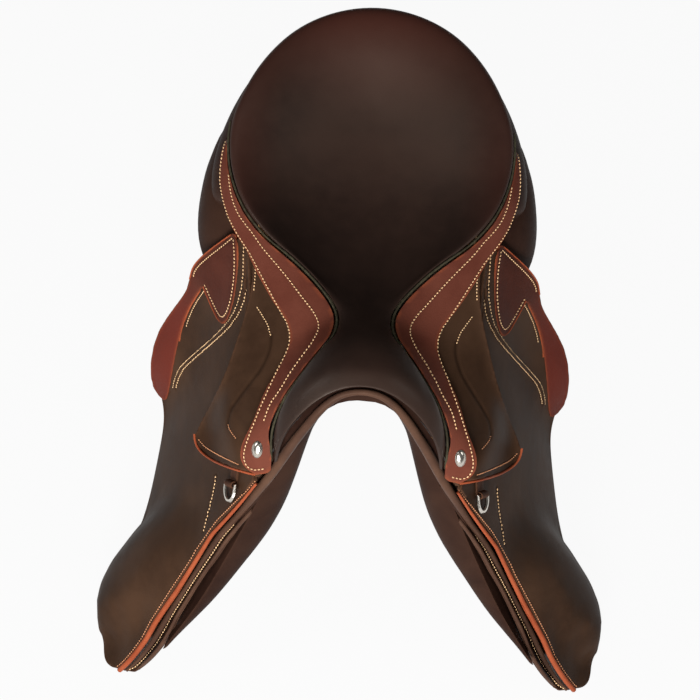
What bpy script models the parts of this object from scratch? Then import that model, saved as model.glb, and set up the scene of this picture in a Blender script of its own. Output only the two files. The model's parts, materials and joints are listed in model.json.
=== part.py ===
"""Close-contact jumping saddle, built as separate leather, foam, wood and steel pieces.

Frame: metres, +Z up, +Y towards the cantle, +X is the horse's left (near) side.
Outlines are given in the saddle frame, whose y and z are zero above the head's
front edge; SADDLE_FRAME moves them so that the world origin lies in the gullet,
on the back that carries the saddle, under the deepest part of the seat.
"""
import bpy
import bmesh
import math
import numpy as np
from mathutils import Matrix, Vector

CM = 0.01

# driving sizes
SADDLE_FRAME = (0.0, -0.22, 0.10)   # saddle frame in the world

COVER = 0.0030                      # seat leather with its backing
FACING = 0.0030                     # facing band
FLAP = 0.0045                       # flap leather
SKIRT = 0.0035                      # skirt leather
ROOT = 0.0022                       # its skived top, nailed to the tree
ROOT_TUCK = 0.004                   # this top under the facing
SWEAT_FLAP = 0.0035
BILLET = 0.0035
GUARD = 0.0020
PATCH = 0.0015                      # patch and heel overlays on the flap
OVERLAY = 0.0013                    # their seat above the flap's curved face
TREE = 0.0085                       # laminated tree
PLATE = 0.0018                      # head and gullet plates
WEBBING = 0.0014
GAP = 0.0003                        # between pieces that lie on each other
LOOSE = 0.0005                      # between leathers that slide on each other
SEAM = 0.0010                       # between a piping and its neighbours

PIPING_RADIUS = 0.0016              # seat piping
SKIRT_PIPING_RADIUS = 0.0015
FLAP_PIPING_RADIUS = 0.0021
WELT_RADIUS = 0.0042                # rolled welt round the pommel arch

FOAM_EDGE = 0.0060                  # foam in the seat's rim
WEB_FLOOR = 0.0096                  # webbing above the tree's underside
FOAM_FLOOR = 0.0120                 # foam above the tree's underside
WEB_DROP = 0.010                    # girth webbing below the tree's edge
WELT_STEPS = 12
ROLL_STATION = 12.0                 # from here back the seat's rim is rolled
RIM_ROLL = 0.0170                   # drop of the rolled seat rim
ROLL_START = 0.66                   # share of the half width where the roll starts

PANEL_CROWN = 0.036                 # thickest part of the panel cushion
PANEL_EDGE = 0.007                  # its drawn-in seams
PANEL_ROLL = 0.014                  # extra stuffing of the roll that frames the arch
GULLET_HALF = 0.034                 # half the channel over the spine

SWEAT_DEPTH = 0.0160                # flap's outer face to the sweat flap's outer face
PANEL_DEPTH = 0.0200                # flap's outer face to the panel and the tree's inside
BILLET_DEPTH = 0.0109
GUARD_DEPTH = 0.0058
BAR_BACK = 0.0076                   # the same to the back of the stirrup bar's plate

KNEE_BULGE = 0.033                  # the knee block lifts the flap by this much
KNEE_AT = (0.014, 0.408)            # crest of the knee block: y and depth
KNEE_REACH = (0.050, 0.095, 0.155, 0.170)   # forwards, back, up and down
KNEE_BLOCK = (0.062, 0.092)         # half length and half height of the knee block
THIGH_BLOCK = (0.018, 0.052)        # the same for the thigh block
FLAP_BOTTOM = 0.463                 # depth of the flap's tip
FLAP_FLARE = 0.010                  # its lower end turns out by this much
HEEL_FLARE = 0.031                  # curl of the flap's rear lobe

HINGE_FRONT = (0.116, 0.020, -0.136)   # line about which flap and skirt lift
HINGE_REAR = (0.128, 0.225, -0.066)
ROOT_WIDTH = 0.007                  # fixed strip of the flap above the hinge line
BAR_NOTCH = 0.035                   # slot in the flap's top round the stirrup bar
BAR_FROM, BAR_TO = 0.062, 0.138     # the bar along the saddle
BAR_DROP = 0.0235                   # its middle below the hinge line
BAR_HEIGHT = 0.018
BAR_THICK = 0.0050
BAR_SLOT = 0.0085                   # room for the stirrup leather behind the bar
CATCH_LENGTH = 0.015
CATCH_PIN = 0.0016

BILLET_WIDTH = 0.026
BILLET_ROWS = (0.098, 0.137, 0.176)   # billets along the saddle
BILLET_END = 0.395                  # depth of the first one's tip
DEE_AT = (0.0335, 0.1817)             # dee's bar on the flap: y and depth
DEE_HANG = (-0.83, 0.56)            # its way out from under the skirt: along y and depth
CHAPE_SEAT = 0.0007                 # chape above the flap
DEE_WIRE = 0.0019
DEE_WIDTH = 0.024
DEE_DROP = 0.017
NAIL_RADIUS = 0.0085
NAIL_HEIGHT = 0.0038

# colours (linear RGB) with roughness and metallic value
DARK_LEATHER = ((0.045, 0.021, 0.013), 0.42, 0.0)
BURGUNDY = ((0.13, 0.028, 0.018), 0.45, 0.0)
RED_LEATHER = ((0.20, 0.030, 0.018), 0.5, 0.0)
ORANGE_EDGE = ((0.40, 0.10, 0.035), 0.5, 0.0)
DEEP_GREEN = ((0.012, 0.018, 0.013), 0.5, 0.0)
BRIDLE_LEATHER = ((0.06, 0.026, 0.014), 0.5, 0.0)
SILVER = ((0.75, 0.73, 0.70), 0.22, 1.0)
STEEL = ((0.45, 0.45, 0.46), 0.35, 1.0)
BEECH = ((0.55, 0.36, 0.18), 0.6, 0.0)
FOAM = ((0.75, 0.70, 0.55), 0.9, 0.0)
CANVAS = ((0.62, 0.56, 0.42), 0.95, 0.0)


# small maths
def smoothstep(t):
    t = min(max(t, 0.0), 1.0)
    return t * t * (3 - 2 * t)


def profile(*pairs):
    """Smooth curve through (position, value) pairs given in cm, without overshoot."""
    xs = np.array([p[0] for p in pairs]) * CM
    ys = np.array([p[1] for p in pairs]) * CM
    slope = np.diff(ys) / np.diff(xs)
    tangent = np.zeros(len(xs))
    tangent[0], tangent[-1] = slope[0], slope[-1]
    for i in range(1, len(xs) - 1):
        if slope[i - 1] * slope[i] > 0:
            tangent[i] = 2 / (1 / slope[i - 1] + 1 / slope[i])

    def value(x):
        if x <= xs[0]:
            return float(ys[0] + tangent[0] * (x - xs[0]))
        if x >= xs[-1]:
            return float(ys[-1] + tangent[-1] * (x - xs[-1]))
        i = int(np.searchsorted(xs, x)) - 1
        w = xs[i + 1] - xs[i]
        t = (x - xs[i]) / w
        return float((2 * t**3 - 3 * t**2 + 1) * ys[i] + (t**3 - 2 * t**2 + t) * w * tangent[i]
                     + (3 * t**2 - 2 * t**3) * ys[i + 1] + (t**3 - t**2) * w * tangent[i + 1])
    return value


def track(*stations, mirrored_end=False):
    """Smooth line through evenly numbered stations given in cm; x flips past a mirrored end."""
    pts = np.array(stations, float) * CM

    def value(v):
        last = len(pts) - 1
        flip = mirrored_end and v > last
        if flip:
            v = 2 * last - v

        def at(i):
            if i < 0:
                return 2 * pts[0] - pts[-i]
            if i > last:
                if mirrored_end:
                    return pts[2 * last - i] * mirror_first
                return 2 * pts[last] - pts[2 * last - i]
            return pts[i]
        i = int(min(max(math.floor(v), 0), last - 1))
        t = v - i
        a, b, c, d = at(i - 1), at(i), at(i + 1), at(i + 2)
        p = 0.5 * (2 * b + (c - a) * t + (2 * a - 5 * b + 4 * c - d) * t * t
                   + (3 * b - a - 3 * c + d) * t**3)
        return p * mirror_first if flip else p
    mirror_first = np.ones(pts.shape[1])
    mirror_first[0] = -1.0
    return value


def offset(surface, a, b, depth, step=1e-3):
    """Point on a surface moved along its normal; a runs outwards and b to the rear."""
    p = surface(a, b)
    if a < 0.02:
        a = 0.02 if b > LAST - 1.5 else a        # the rows of the cantle's fan meet here
    across = (surface(a + step, b) - surface(a - step, b))
    along = (surface(a, b + 1e-3) - surface(a, b - 1e-3))
    n = np.cross(across, along)
    n /= np.linalg.norm(n)
    if p[0] == 0.0:
        n[0] = 0.0
    return p + depth * n


# the saddle's lines
# All rows run from the middle line outwards, at stations 0 (head) to 20 (cantle).
LAST = 20

# seat edge: x, y, z where the cover meets the facing, and then the cantle
SEAT_EDGE = track(
    (8.4, 2.5, -11.7), (8.55, 3.8, -9.9), (8.2, 5.2, -8.4), (7.4, 6.7, -6.9), (6.3, 8.3, -5.7),
    (4.9, 10.4, -4.6), (3.4, 12.4, -4.1), (2.7, 14.1, -3.9), (3.8, 16.3, -3.7), (5.9, 18.7, -3.5),
    (8.0, 20.8, -3.2), (10.2, 23.0, -2.9), (12.2, 25.3, -2.6), (13.5, 28.2, -2.1),
    (14.0, 32.0, -1.1), (13.8, 35.6, 0.2), (12.7, 38.8, 1.4), (10.7, 41.9, 2.5),
    (7.9, 44.4, 3.6), (4.2, 46.0, 4.4), (0.0, 46.6, 4.7), mirrored_end=True)
# where each row leaves the middle line: y
SEAT_MIDDLE = track(
    (0, 5.8), (0, 6.3), (0, 7.0), (0, 8.0), (0, 9.2), (0, 10.8), (0, 12.5), (0, 14.3), (0, 16.3),
    (0, 18.5), (0, 20.7), (0, 22.9), (0, 25.1), (0, 27.5), (0, 29.9), (0, 32.1), (0, 34.0),
    (0, 35.5), (0, 36.7), (0, 37.5), (0, 37.8), mirrored_end=True)
# height of the seat along the middle line
SEAT_KEEL = profile((5.0, -2.2), (5.8, -1.8), (7.5, -1.1), (9.5, -1.2), (12.5, -2.2), (16, -3.6),
                    (20, -4.7), (24, -5.1), (28, -4.7), (32, -3.4), (36, -1.3), (40, 1.7),
                    (43, 4.4), (45.2, 6.0), (46.6, 6.6))
# the facing's outer edge, stations 0 (lobe with the nail) to 15
FACING_EDGE = track(
    (9.8, 1.95, -12.95), (11.3, 2.9, -11.8), (10.95, 4.3, -10.5), (10.1, 6.1, -9.2),
    (9.0, 8.2, -8.0), (8.0, 10.4, -6.9), (7.25, 12.2, -6.1), (7.0, 13.6, -5.8), (7.7, 15.3, -5.6),
    (9.2, 18.0, -5.3), (10.8, 20.7, -4.9), (12.4, 23.2, -4.5), (13.9, 25.6, -4.1),
    (15.0, 28.6, -3.6), (15.3, 32.0, -2.6), (14.9, 35.4, -1.2))
# the tree's outer edge, y and depth below the saddle frame; x follows the flap's surface
TREE_EDGE = track(
    (4.0, 13.2), (5.3, 14.6), (6.9, 15.1), (8.6, 15.0), (10.3, 14.6), (12.0, 13.6), (13.6, 12.0),
    (15.2, 10.4), (16.8, 9.2), (18.7, 8.3), (20.8, 7.6), (22.9, 7.1), (25.2, 6.7), (27.7, 6.2),
    (30.4, 5.5), (33.0, 4.5), (35.6, 3.2), (38.2, 1.7), (40.6, 0.2), (42.2, -0.9), (42.8, -1.3))
TREE_HALF = track((0, 0), (0, 0), (0, 0), (0, 0), (0, 0), (0, 0), (0, 0), (0, 0), (0, 0), (0, 0),
                  (9.6, 0), (10.1, 0), (10.8, 0), (11.3, 0), (11.5, 0), (11.2, 0), (10.4, 0),
                  (8.9, 0), (6.7, 0), (3.7, 0), (0.0, 0), mirrored_end=True)
# the panel's lower edge: x, y and depth
PANEL_EDGE_LINE = track(
    (18.9, -5.6, 38.5), (19.6, -2.8, 39.3), (19.8, 0.2, 39.0), (19.7, 2.8, 37.6),
    (19.2, 5.2, 35.4), (18.6, 7.5, 33.0), (18.0, 9.8, 30.4), (17.4, 12.0, 27.8), (16.9, 14.3, 25.2),
    (16.6, 16.6, 22.8), (16.6, 19.0, 20.4), (17.0, 21.8, 18.2), (17.5, 24.8, 16.2),
    (18.0, 28.0, 14.6), (18.2, 31.2, 13.2), (18.0, 34.4, 11.8), (17.3, 37.4, 10.0),
    (15.9, 40.0, 8.0), (12.9, 41.8, 5.4), (8.2, 42.9, 3.0), (0.0, 43.4, 2.0), mirrored_end=True)


def flap_face(y, h, bulges=True):
    """Outer face of the flap at y and at depth h: half width."""
    slope = 0.50 - 0.9 * min(max(y, -0.08), 0.24)
    low = max(h, 0.14)
    x = 0.063 + 0.325 * y + slope * (low - 0.08)
    if h < low:
        x -= max(slope, 0.45) * (low - h)
    if not bulges:
        return x
    dy, dh = y - KNEE_AT[0], h - KNEE_AT[1]
    ry = KNEE_REACH[0] if dy < 0 else KNEE_REACH[1]
    rh = KNEE_REACH[2] if dh < 0 else KNEE_REACH[3]
    r2 = (dy / ry)**2 + (dh / rh)**2
    x += KNEE_BULGE * smoothstep(1 - r2)
    x += HEEL_FLARE * math.exp(-((y - 0.248) / 0.026)**2 - ((h - 0.30) / 0.065)**2)
    x += FLAP_FLARE * smoothstep((h - 0.34) / 0.10) * (1 - smoothstep((y + 0.01) / 0.09))
    x += 0.30 * max(0.0, y - 0.22) * smoothstep((h - 0.06) / 0.07) * (1 - smoothstep((h - 0.18) / 0.1))
    return x


def on_flap(y, h, depth=0.0, bulges=True):
    """Point of the flap's outer face, sunk by a depth along the surface's normal."""
    e = 1e-3
    f = flap_face
    dy = (f(y + e, h, bulges) - f(y - e, h, bulges)) / (2 * e)
    dh = (f(y, h + e, bulges) - f(y, h - e, bulges)) / (2 * e)
    n = np.array([1.0, -dy, dh])
    n /= np.linalg.norm(n)
    return np.array([f(y, h, bulges), y, -h]) - depth * n


# surfaces
def seat_face(t, v):
    """Top of the seat cover: t from 0 (middle line) to 1 (edge) at station v."""
    edge, middle = SEAT_EDGE(v), SEAT_MIDDLE(v)[1]
    rear = smoothstep((v - 4.5) / 3.8)
    roll = RIM_ROLL * smoothstep((v - ROLL_STATION + 3.5) / 4.5) * (1 - smoothstep((v - 36) / 4))
    x = edge[0] * t
    y = middle + (edge[1] - middle) * t * t
    arch_keel = SEAT_KEEL(middle)
    arch = arch_keel + (edge[2] - arch_keel) * (1 - max(1 - t * t, 0.0)**0.62)
    keel = SEAT_KEEL(y)
    spread = 1 - smoothstep((min(v, 2 * LAST - v) - 15.5) / 4.5)
    dish = keel + spread * (edge[2] + roll - keel) * t * t
    past = max(0.0, (abs(t) - ROLL_START) / (1 - ROLL_START))
    drop = roll + (SEAT_KEEL(edge[1]) - edge[2] - roll) * (1 - spread)
    dish -= drop * (1 - math.sqrt(max(0.0, 1 - past * past)))
    return np.array([x, y, arch * (1 - rear) + dish * rear])


def core_face(s, v):
    """Underside of the tree (s to 1) and the panel's upper and outer face (s 1 to 2)."""
    ye, he = TREE_EDGE(v)
    rear = smoothstep((min(v, 2 * LAST - v) - 10.0) / 2.0)
    xe = (1 - rear) * (flap_face(ye, he, False) - PANEL_DEPTH * 1.1) + rear * TREE_HALF(v)[0]
    if v > LAST:
        xe = -abs(xe)
    if s <= 1.0:
        middle = SEAT_MIDDLE(v)[1] + 0.012 * smoothstep((min(v, 2 * LAST - v) - 16) / 4)
        crest = SEAT_KEEL(middle) - CORE_DEPTH(min(v, 2 * LAST - v) * CM)
        power = 0.80 + 0.25 * smoothstep(v / 3.5) + 0.1 * smoothstep((v - 5.0) / 4.0)
        y = middle + (ye - middle) * s * s
        return np.array([xe * s, y, crest + (-he - crest) * (1 - max(1 - s * s, 0.0)**power)])
    line = PANEL_EDGE_LINE(v)
    t = s - 1.0
    rear = smoothstep((min(v, 2 * LAST - v) - 11.3) / 2.2)
    y, h = ye + (line[1] - ye) * t, he + (line[2] - he) * t**(1 + 0.8 * rear)
    wide = xe + (line[0] - xe) * math.sin(t * math.pi / 2)**0.9
    under_flap = flap_face(y, h, False) - PANEL_DEPTH * 1.1
    x = (1 - rear) * under_flap + rear * wide
    return np.array([x, y, -h])


# depth of the tree's underside below the seat at the middle line, by station
CORE_DEPTH = profile((0, 2.4), (2, 3.0), (4, 4.0), (6, 4.3), (9, 3.9), (12, 3.4), (16, 3.2), (20, 3.2))


def facing_face(t, v):
    """The facing from the seat edge (0) to its outer edge (1)."""
    a, b = SEAT_EDGE(v), FACING_EDGE(v)
    side = b - a
    up = np.cross(side, SEAT_EDGE(v + 0.5) - SEAT_EDGE(v - 0.5))
    up /= np.linalg.norm(up)
    if up[2] < 0:
        up = -up
    crown = 0.06 * np.linalg.norm(side) * math.sin(math.pi * t)
    return a + side * t + up * crown


def hinge_point(y):
    """Point of the hinge line at y."""
    a, b = np.array(HINGE_FRONT), np.array(HINGE_REAR)
    return a + (b - a) * (y - a[1]) / (b[1] - a[1])


def flap_top(y):
    """Depth at which the lifting part of the flap begins, square under the hinge line."""
    hinge = hinge_point(y)
    return -hinge[2] + 0.38 * (hinge[0] - flap_face(y, -hinge[2]))


# scene helpers
def material(name, look):
    colour, rough, metal = look
    mat = bpy.data.materials.new(name)
    mat.use_nodes = True
    shader = mat.node_tree.nodes["Principled BSDF"]
    shader.inputs["Base Color"].default_value = (*colour, 1.0)
    shader.inputs["Roughness"].default_value = rough
    shader.inputs["Metallic"].default_value = metal
    mat.diffuse_color = (*colour, 1.0)
    return mat


def place(name, mesh, look, parent, smooth=True):
    """New object with its own material under a parent empty, mesh given in the saddle frame."""
    obj = bpy.data.objects.new(name, mesh)
    PARTS.objects.link(obj)
    mesh.materials.append(material(name, look))
    obj.parent = parent
    shift = Matrix.Identity(4)
    empty = parent
    while empty is not None and empty is not FRAME:
        shift = empty.matrix_basis @ shift
        empty = empty.parent
    mesh.transform(shift.inverted())
    if smooth:
        mesh.shade_smooth()
        mesh.set_sharp_from_angle(angle=math.radians(40))
    return obj


def mirrored(mesh, name):
    """Copy of a mesh for the other side of the saddle."""
    other = mesh.copy()
    other.name = name
    other.transform(Matrix.Scale(-1, 4, (1, 0, 0)))
    other.flip_normals()
    return other


def pair(base, mesh, look, parents):
    """A left piece from its mesh and its mirrored right twin."""
    twin = mirrored(mesh, base + "_right")
    return [place(base + "_left", mesh, look, parents[0]),
            place(base + "_right", twin, look, parents[1])]


def grid_block(name, nu, nv, upper, lower, keep=None, on_mirror=False):
    """Closed block between two surfaces of (u, v), each laid on the same grid."""
    bm = bmesh.new()
    bmesh.ops.create_grid(bm, x_segments=nu, y_segments=nv, size=0.5)
    cell = bm.verts.layers.float_vector.new("uv_place")
    for vert in bm.verts:
        vert[cell] = Vector((vert.co.x + 0.5, vert.co.y + 0.5, 0.0))
    if keep is not None:
        gone = [f for f in bm.faces if not keep(f.calc_center_median().x + 0.5,
                                                f.calc_center_median().y + 0.5)]
        bmesh.ops.delete(bm, geom=gone, context="FACES")
    made = bmesh.ops.extrude_face_region(bm, geom=list(bm.faces))
    tops = {g for g in made["geom"] if isinstance(g, bmesh.types.BMVert)}
    for vert in bm.verts:
        u, v = vert[cell].x, vert[cell].y
        surface = upper if vert in tops else lower
        vert.co = Vector(surface(u, v))
    if on_mirror:
        for vert in bm.verts:
            if abs(vert.co.x) < 2e-5:
                vert.co.x = 0.0
        flat = [f for f in bm.faces if all(abs(w.co.x) < 1e-6 for w in f.verts)]
        bmesh.ops.delete(bm, geom=flat, context="FACES")
    bmesh.ops.recalc_face_normals(bm, faces=list(bm.faces))
    mesh = bpy.data.meshes.new(name)
    bm.to_mesh(mesh)
    bm.free()
    return mesh


def across(name, mesh, look, parent):
    """Piece that crosses the middle line: its left half with a Mirror modifier."""
    obj = place(name, mesh, look, parent)
    twin = obj.modifiers.new("Mirror", "MIRROR")
    twin.merge_threshold = 0.0001
    twin.use_clip = True
    outward_check(obj)
    return obj


def outward_check(obj):
    """Turns an open half whose faces point inwards."""
    mesh = obj.data
    signed = 0.0
    for poly in mesh.polygons:
        c = poly.center
        signed += c.dot(poly.normal) * poly.area
    if signed < 0:
        mesh.flip_normals()


def tube_mesh(name, points, radius, resolution=1, closed=False):
    """Round cord of leather or wire through the points, as a welded mesh."""
    data = bpy.data.curves.new(name, "CURVE")
    data.dimensions = "3D"
    data.bevel_depth = radius
    data.bevel_resolution = resolution
    data.use_fill_caps = True
    spline = data.splines.new("POLY")
    spline.points.add(len(points) - 1)
    for point, p in zip(spline.points, points):
        point.co = (*p, 1.0)
    spline.use_cyclic_u = closed
    curve = bpy.data.objects.new(name + "_line", data)
    PARTS.objects.link(curve)
    bpy.context.view_layer.update()
    mesh = bpy.data.meshes.new_from_object(
        curve.evaluated_get(bpy.context.evaluated_depsgraph_get()))
    bpy.data.objects.remove(curve)
    bm = bmesh.new()
    bm.from_mesh(mesh)
    bmesh.ops.remove_doubles(bm, verts=bm.verts, dist=1e-6)
    bmesh.ops.recalc_face_normals(bm, faces=bm.faces)
    bm.to_mesh(mesh)
    bm.free()
    mesh.name = name
    return mesh


def outline_mesh(name, outline, thickness, frame):
    """Flat outline in a frame's XY plane, extruded by its thickness along Z."""
    bm = bmesh.new()
    face = bm.faces.new([bm.verts.new((x, y, -thickness / 2)) for x, y in outline])
    made = bmesh.ops.extrude_face_region(bm, geom=[face])
    verts = [g for g in made["geom"] if isinstance(g, bmesh.types.BMVert)]
    bmesh.ops.translate(bm, verts=verts, vec=(0, 0, thickness))
    bmesh.ops.recalc_face_normals(bm, faces=list(bm.faces))
    bmesh.ops.transform(bm, matrix=frame, verts=list(bm.verts))
    mesh = bpy.data.meshes.new(name)
    bm.to_mesh(mesh)
    bm.free()
    return mesh


def frame_at(origin, x_axis, y_hint):
    """Frame with its X along x_axis and its Y near y_hint."""
    x = Vector(x_axis).normalized()
    z = x.cross(Vector(y_hint)).normalized()
    y = z.cross(x).normalized()
    m = Matrix((x, y, z)).transposed().to_4x4()
    m.translation = Vector(origin)
    return m


def empty(name, location, parent):
    obj = bpy.data.objects.new(name, None)
    obj.empty_display_size = 0.03
    PARTS.objects.link(obj)
    obj.parent = parent
    base = Vector((0, 0, 0))
    up = parent
    while up is not None and up is not FRAME:
        base += up.location
        up = up.parent
    obj.location = Vector(location) - base
    return obj


# seat and tree
ROWS = 28                           # rows along the saddle, shared by all its layers
ROW = LAST / ROWS
SEAT_COLUMNS = 8
TREE_COLUMNS = 7


def seat_place(column, row):
    """Share of the half width, finer towards the rim, and station of a grid point."""
    return min(math.sin(column / SEAT_COLUMNS * math.pi / 2), 0.9995), row * ROW


def seat_block(name, columns, row0, row1):
    """The seat leather: a skin under the seat face."""
    def at(depth):
        def point(u, v):
            t, station = seat_place(u * columns, row0 + (row1 - row0) * v)
            rim = depth and t > 0.99             # the underside turns gently into the rim
            return offset(seat_face, t, station, -depth, 0.02 if rim else 1e-3)
        return point
    return grid_block(name, columns, row1 - row0, at(0.0), at(COVER), on_mirror=True)


def foam_block(name, columns, row0, row1):
    """Foam that fills the room between the cover and the webbing on the tree."""
    def top(u, v):
        t, station = seat_place(u * columns, row0 + (row1 - row0) * v)
        return offset(seat_face, t, station, -COVER - GAP)

    def bottom(u, v):
        t, station = seat_place(u * columns, row0 + (row1 - row0) * v)
        above = top(u, v)
        wide = max(core_face(1.0, station)[0], 0.02)
        floor = offset(core_face, min(above[0] / wide, 1.0), station, FOAM_FLOOR)
        thin = offset(seat_face, t, station, -COVER - GAP - FOAM_EDGE)
        share = smoothstep((t - 0.80) / 0.15)
        under = (above - thin) / np.linalg.norm(above - thin)
        share = max(share, smoothstep((np.dot(floor - thin, under) + 0.004) / 0.004))
        if station > LAST - 5:
            share = max(share, smoothstep((t - 0.72) / 0.12))
        share = max(share, smoothstep((t - 0.30) / 0.25) * (1 - smoothstep((station - 5.0) / 2.0)))
        return floor + (thin - floor) * share
    return grid_block(name, columns, row1 - row0, top, bottom, on_mirror=True)


def core_block(name, nu, rows, lower, upper, spread, keep=None, on_mirror=True, stations=None,
               even=1e-3):
    """Block on the tree surface between two heights, over rows (first, last) or stations.

    spread(column, station) is the place across the saddle. Even is the share of the half width
    over which the lower face's direction is evened, for a thick block that turns a corner."""
    stations = stations or [row * ROW for row in range(rows[0], rows[1] + 1)]
    def at(height, step=1e-3):
        def point(u, v):
            station = stations[round(v * (len(stations) - 1))]
            s = spread(u * nu, station)
            h = height(s, station) if callable(height) else height
            return offset(core_face, s, station, h, step)
        return point
    return grid_block(name, nu, len(stations) - 1, at(upper), at(lower, even), keep, on_mirror)


def build_seat():
    across("seat_cover", seat_block("seat_cover", SEAT_COLUMNS, 0, ROWS), DARK_LEATHER, FRAME)
    across("seat_foam", foam_block("seat_foam", SEAT_COLUMNS - 1, 3, ROWS), FOAM, FRAME)


def tree_column(column, station):
    return 0.999 * column / TREE_COLUMNS


def build_tree():
    head, cantle = 6 / ROWS, 24 / ROWS

    def ring(u, v):
        return u > 3 / TREE_COLUMNS or v < head or v > cantle
    across("tree", core_block("tree", TREE_COLUMNS, (0, ROWS), 0.0, TREE, tree_column, keep=ring),
           BEECH, FRAME)
    over = (TREE + GAP, TREE + GAP + PLATE)
    across("head_plate", core_block("head_plate", TREE_COLUMNS, (0, 3), *over, tree_column),
           STEEL, FRAME)
    across("gullet_plate", core_block("gullet_plate", TREE_COLUMNS - 1, (0, 3), -GAP - PLATE, -GAP,
                                      tree_column), STEEL, FRAME)
    cloth = (WEB_FLOOR, WEB_FLOOR + WEBBING)

    def web_column(column, station):
        """Webbing that ends a little below the tree's edge, over the billets' tops."""
        drop = PANEL_EDGE_LINE(station)[2] - TREE_EDGE(station)[1]
        return tree_column(column, station) if column < TREE_COLUMNS + 0.5 else 1 + WEB_DROP / drop
    for name, rows in (("girth_webbing_front", (4, 7)), ("girth_webbing_rear", (8, 12))):
        across(name, core_block(name, TREE_COLUMNS + 1, rows, *cloth, web_column), CANVAS, FRAME)
    across("seat_webbing", core_block("seat_webbing", 4, (13, 25), *cloth, tree_column),
           CANVAS, FRAME)
    welt = []
    for i in range(-WELT_STEPS, WELT_STEPS + 1):
        s = i / WELT_STEPS * 0.90
        p = offset(core_face, abs(s), 0.0, TREE * 0.5)
        welt.append((math.copysign(p[0], s) if i else 0.0, p[1] - WELT_RADIUS - SEAM, p[2]))
    place("arch_welt", tube_mesh("arch_welt", welt, WELT_RADIUS, 1), DARK_LEATHER, FRAME)


FACING_ROWS = 21


def seam_width(station):
    """Width of the facing square to its inner seam."""
    side = FACING_EDGE(station) - SEAT_EDGE(station)
    along = SEAT_EDGE(station + 0.3) - SEAT_EDGE(station - 0.3)
    return np.linalg.norm(np.cross(side, along)) / np.linalg.norm(along)


def build_facing():
    def band(depth):
        def point(u, v):
            station = FACING_ROWS * ROW * v
            start = 2 * (PIPING_RADIUS + SEAM) / seam_width(station)
            return offset(facing_face, start + (1 - start) * u, max(station, 0.02), -depth)
        return point
    mesh = grid_block("facing_left", 3, FACING_ROWS, band(0.0), band(FACING))
    pair("facing", mesh, BURGUNDY, (FRAME, FRAME))
    line = []
    for i in range(FACING_ROWS + 1):
        station = min(max(i * ROW, 0.1), FACING_ROWS * ROW - 0.1)
        line.append(offset(facing_face, (PIPING_RADIUS + SEAM) / seam_width(station), station,
                           -PIPING_RADIUS * 0.3))
    pair("seat_piping", tube_mesh("seat_piping_left", line, PIPING_RADIUS, 0), DEEP_GREEN,
         (FRAME, FRAME))
    nail = offset(facing_face, 0.52, 0.95, 0.0)
    up = offset(facing_face, 0.52, 0.95, 1.0) - nail
    pair("nail_head", dome_mesh("nail_head_left", nail + up * GAP, up), SILVER, (FRAME, FRAME))


def dome_mesh(name, at, normal):
    """Nail head: a turned dome with a small rim, flat underneath."""
    rings = [(0.0, NAIL_HEIGHT), (0.5, NAIL_HEIGHT * 0.9), (0.85, NAIL_HEIGHT * 0.55),
             (1.0, NAIL_HEIGHT * 0.18), (1.0, 0.0)]
    bm = bmesh.new()
    verts = [bm.verts.new((NAIL_RADIUS * r, 0, z)) for r, z in rings]
    edges = [bm.edges.new(pair_) for pair_ in zip(verts, verts[1:])]
    bmesh.ops.spin(bm, geom=verts + edges, cent=(0, 0, 0), axis=(0, 0, 1),
                   angle=2 * math.pi, steps=16, use_merge=True)
    bmesh.ops.remove_doubles(bm, verts=bm.verts, dist=1e-6)
    bmesh.ops.holes_fill(bm, edges=[e for e in bm.edges if e.is_boundary], sides=0)
    bmesh.ops.recalc_face_normals(bm, faces=list(bm.faces))
    turn = Vector((0, 0, 1)).rotation_difference(Vector(normal)).to_matrix().to_4x4()
    turn.translation = Vector(at)
    bmesh.ops.transform(bm, matrix=turn, verts=bm.verts)
    mesh = bpy.data.meshes.new(name)
    bm.to_mesh(mesh)
    bm.free()
    return mesh


def build_cantle_back():
    """Leather round the cantle: from under the facing and the seat's rim onto the panel."""
    first = 18

    def face(depth):
        def point(u, v):
            station = (first + (ROWS - first) * v) * ROW
            side = FACING_EDGE(min(station, 14.9)) - np.array([0.005, 0.0, FACING + 0.0045])
            rim = SEAT_EDGE(station) - np.array([0.0, 0.0, 0.0034])
            top = side + (rim - side) * smoothstep((station - 13.8) / 1.6)
            low = offset(core_face, 1.5, station, 0.0030)
            reach = low - top
            out = np.cross(SEAT_EDGE(station + 0.3) - SEAT_EDGE(station - 0.3), reach)
            out /= -np.linalg.norm(out)
            bow = 0.004 * math.sin(math.pi * u)
            p = top + reach * u + out * (bow - depth)
            if station > LAST - 0.01:
                p[0] = 0.0
            return p
        return point
    across("cantle_back", grid_block("cantle_back", 3, ROWS - first, face(0.0), face(COVER),
                                     on_mirror=True), DARK_LEATHER, FRAME)


# panel, sweat flap and blocks
def panel_thickness(s, v):
    """Crowned cushion: thick along its middle, drawn in at the seams."""
    t = min(max((s - 0.33) / 1.64, 0.0), 1.0)
    crown = math.sin(math.pi * t**0.85)**0.55 if 0 < t < 1 else 0.0
    front = math.sqrt(max(0.0, 1 - (1 - min(v / 1.8, 1.0))**2))
    rear = smoothstep((PANEL_ROWS[-1] - v) / 3.2)
    low = 1 - 0.45 * smoothstep((s - 1.3) / 0.6) * (1 - smoothstep((v - 7) / 5))
    edge = PANEL_EDGE * (0.4 + 0.6 * min(front, rear))
    roll = PANEL_ROLL * front * smoothstep((s - 0.95) / 0.3) * (1 - smoothstep((s - 1.72) / 0.22))
    roll *= 1 - smoothstep((v - 3.5) / 4)
    return edge + (PANEL_CROWN - PANEL_EDGE) * crown * (0.10 + 0.90 * front) * rear * low + roll


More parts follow.
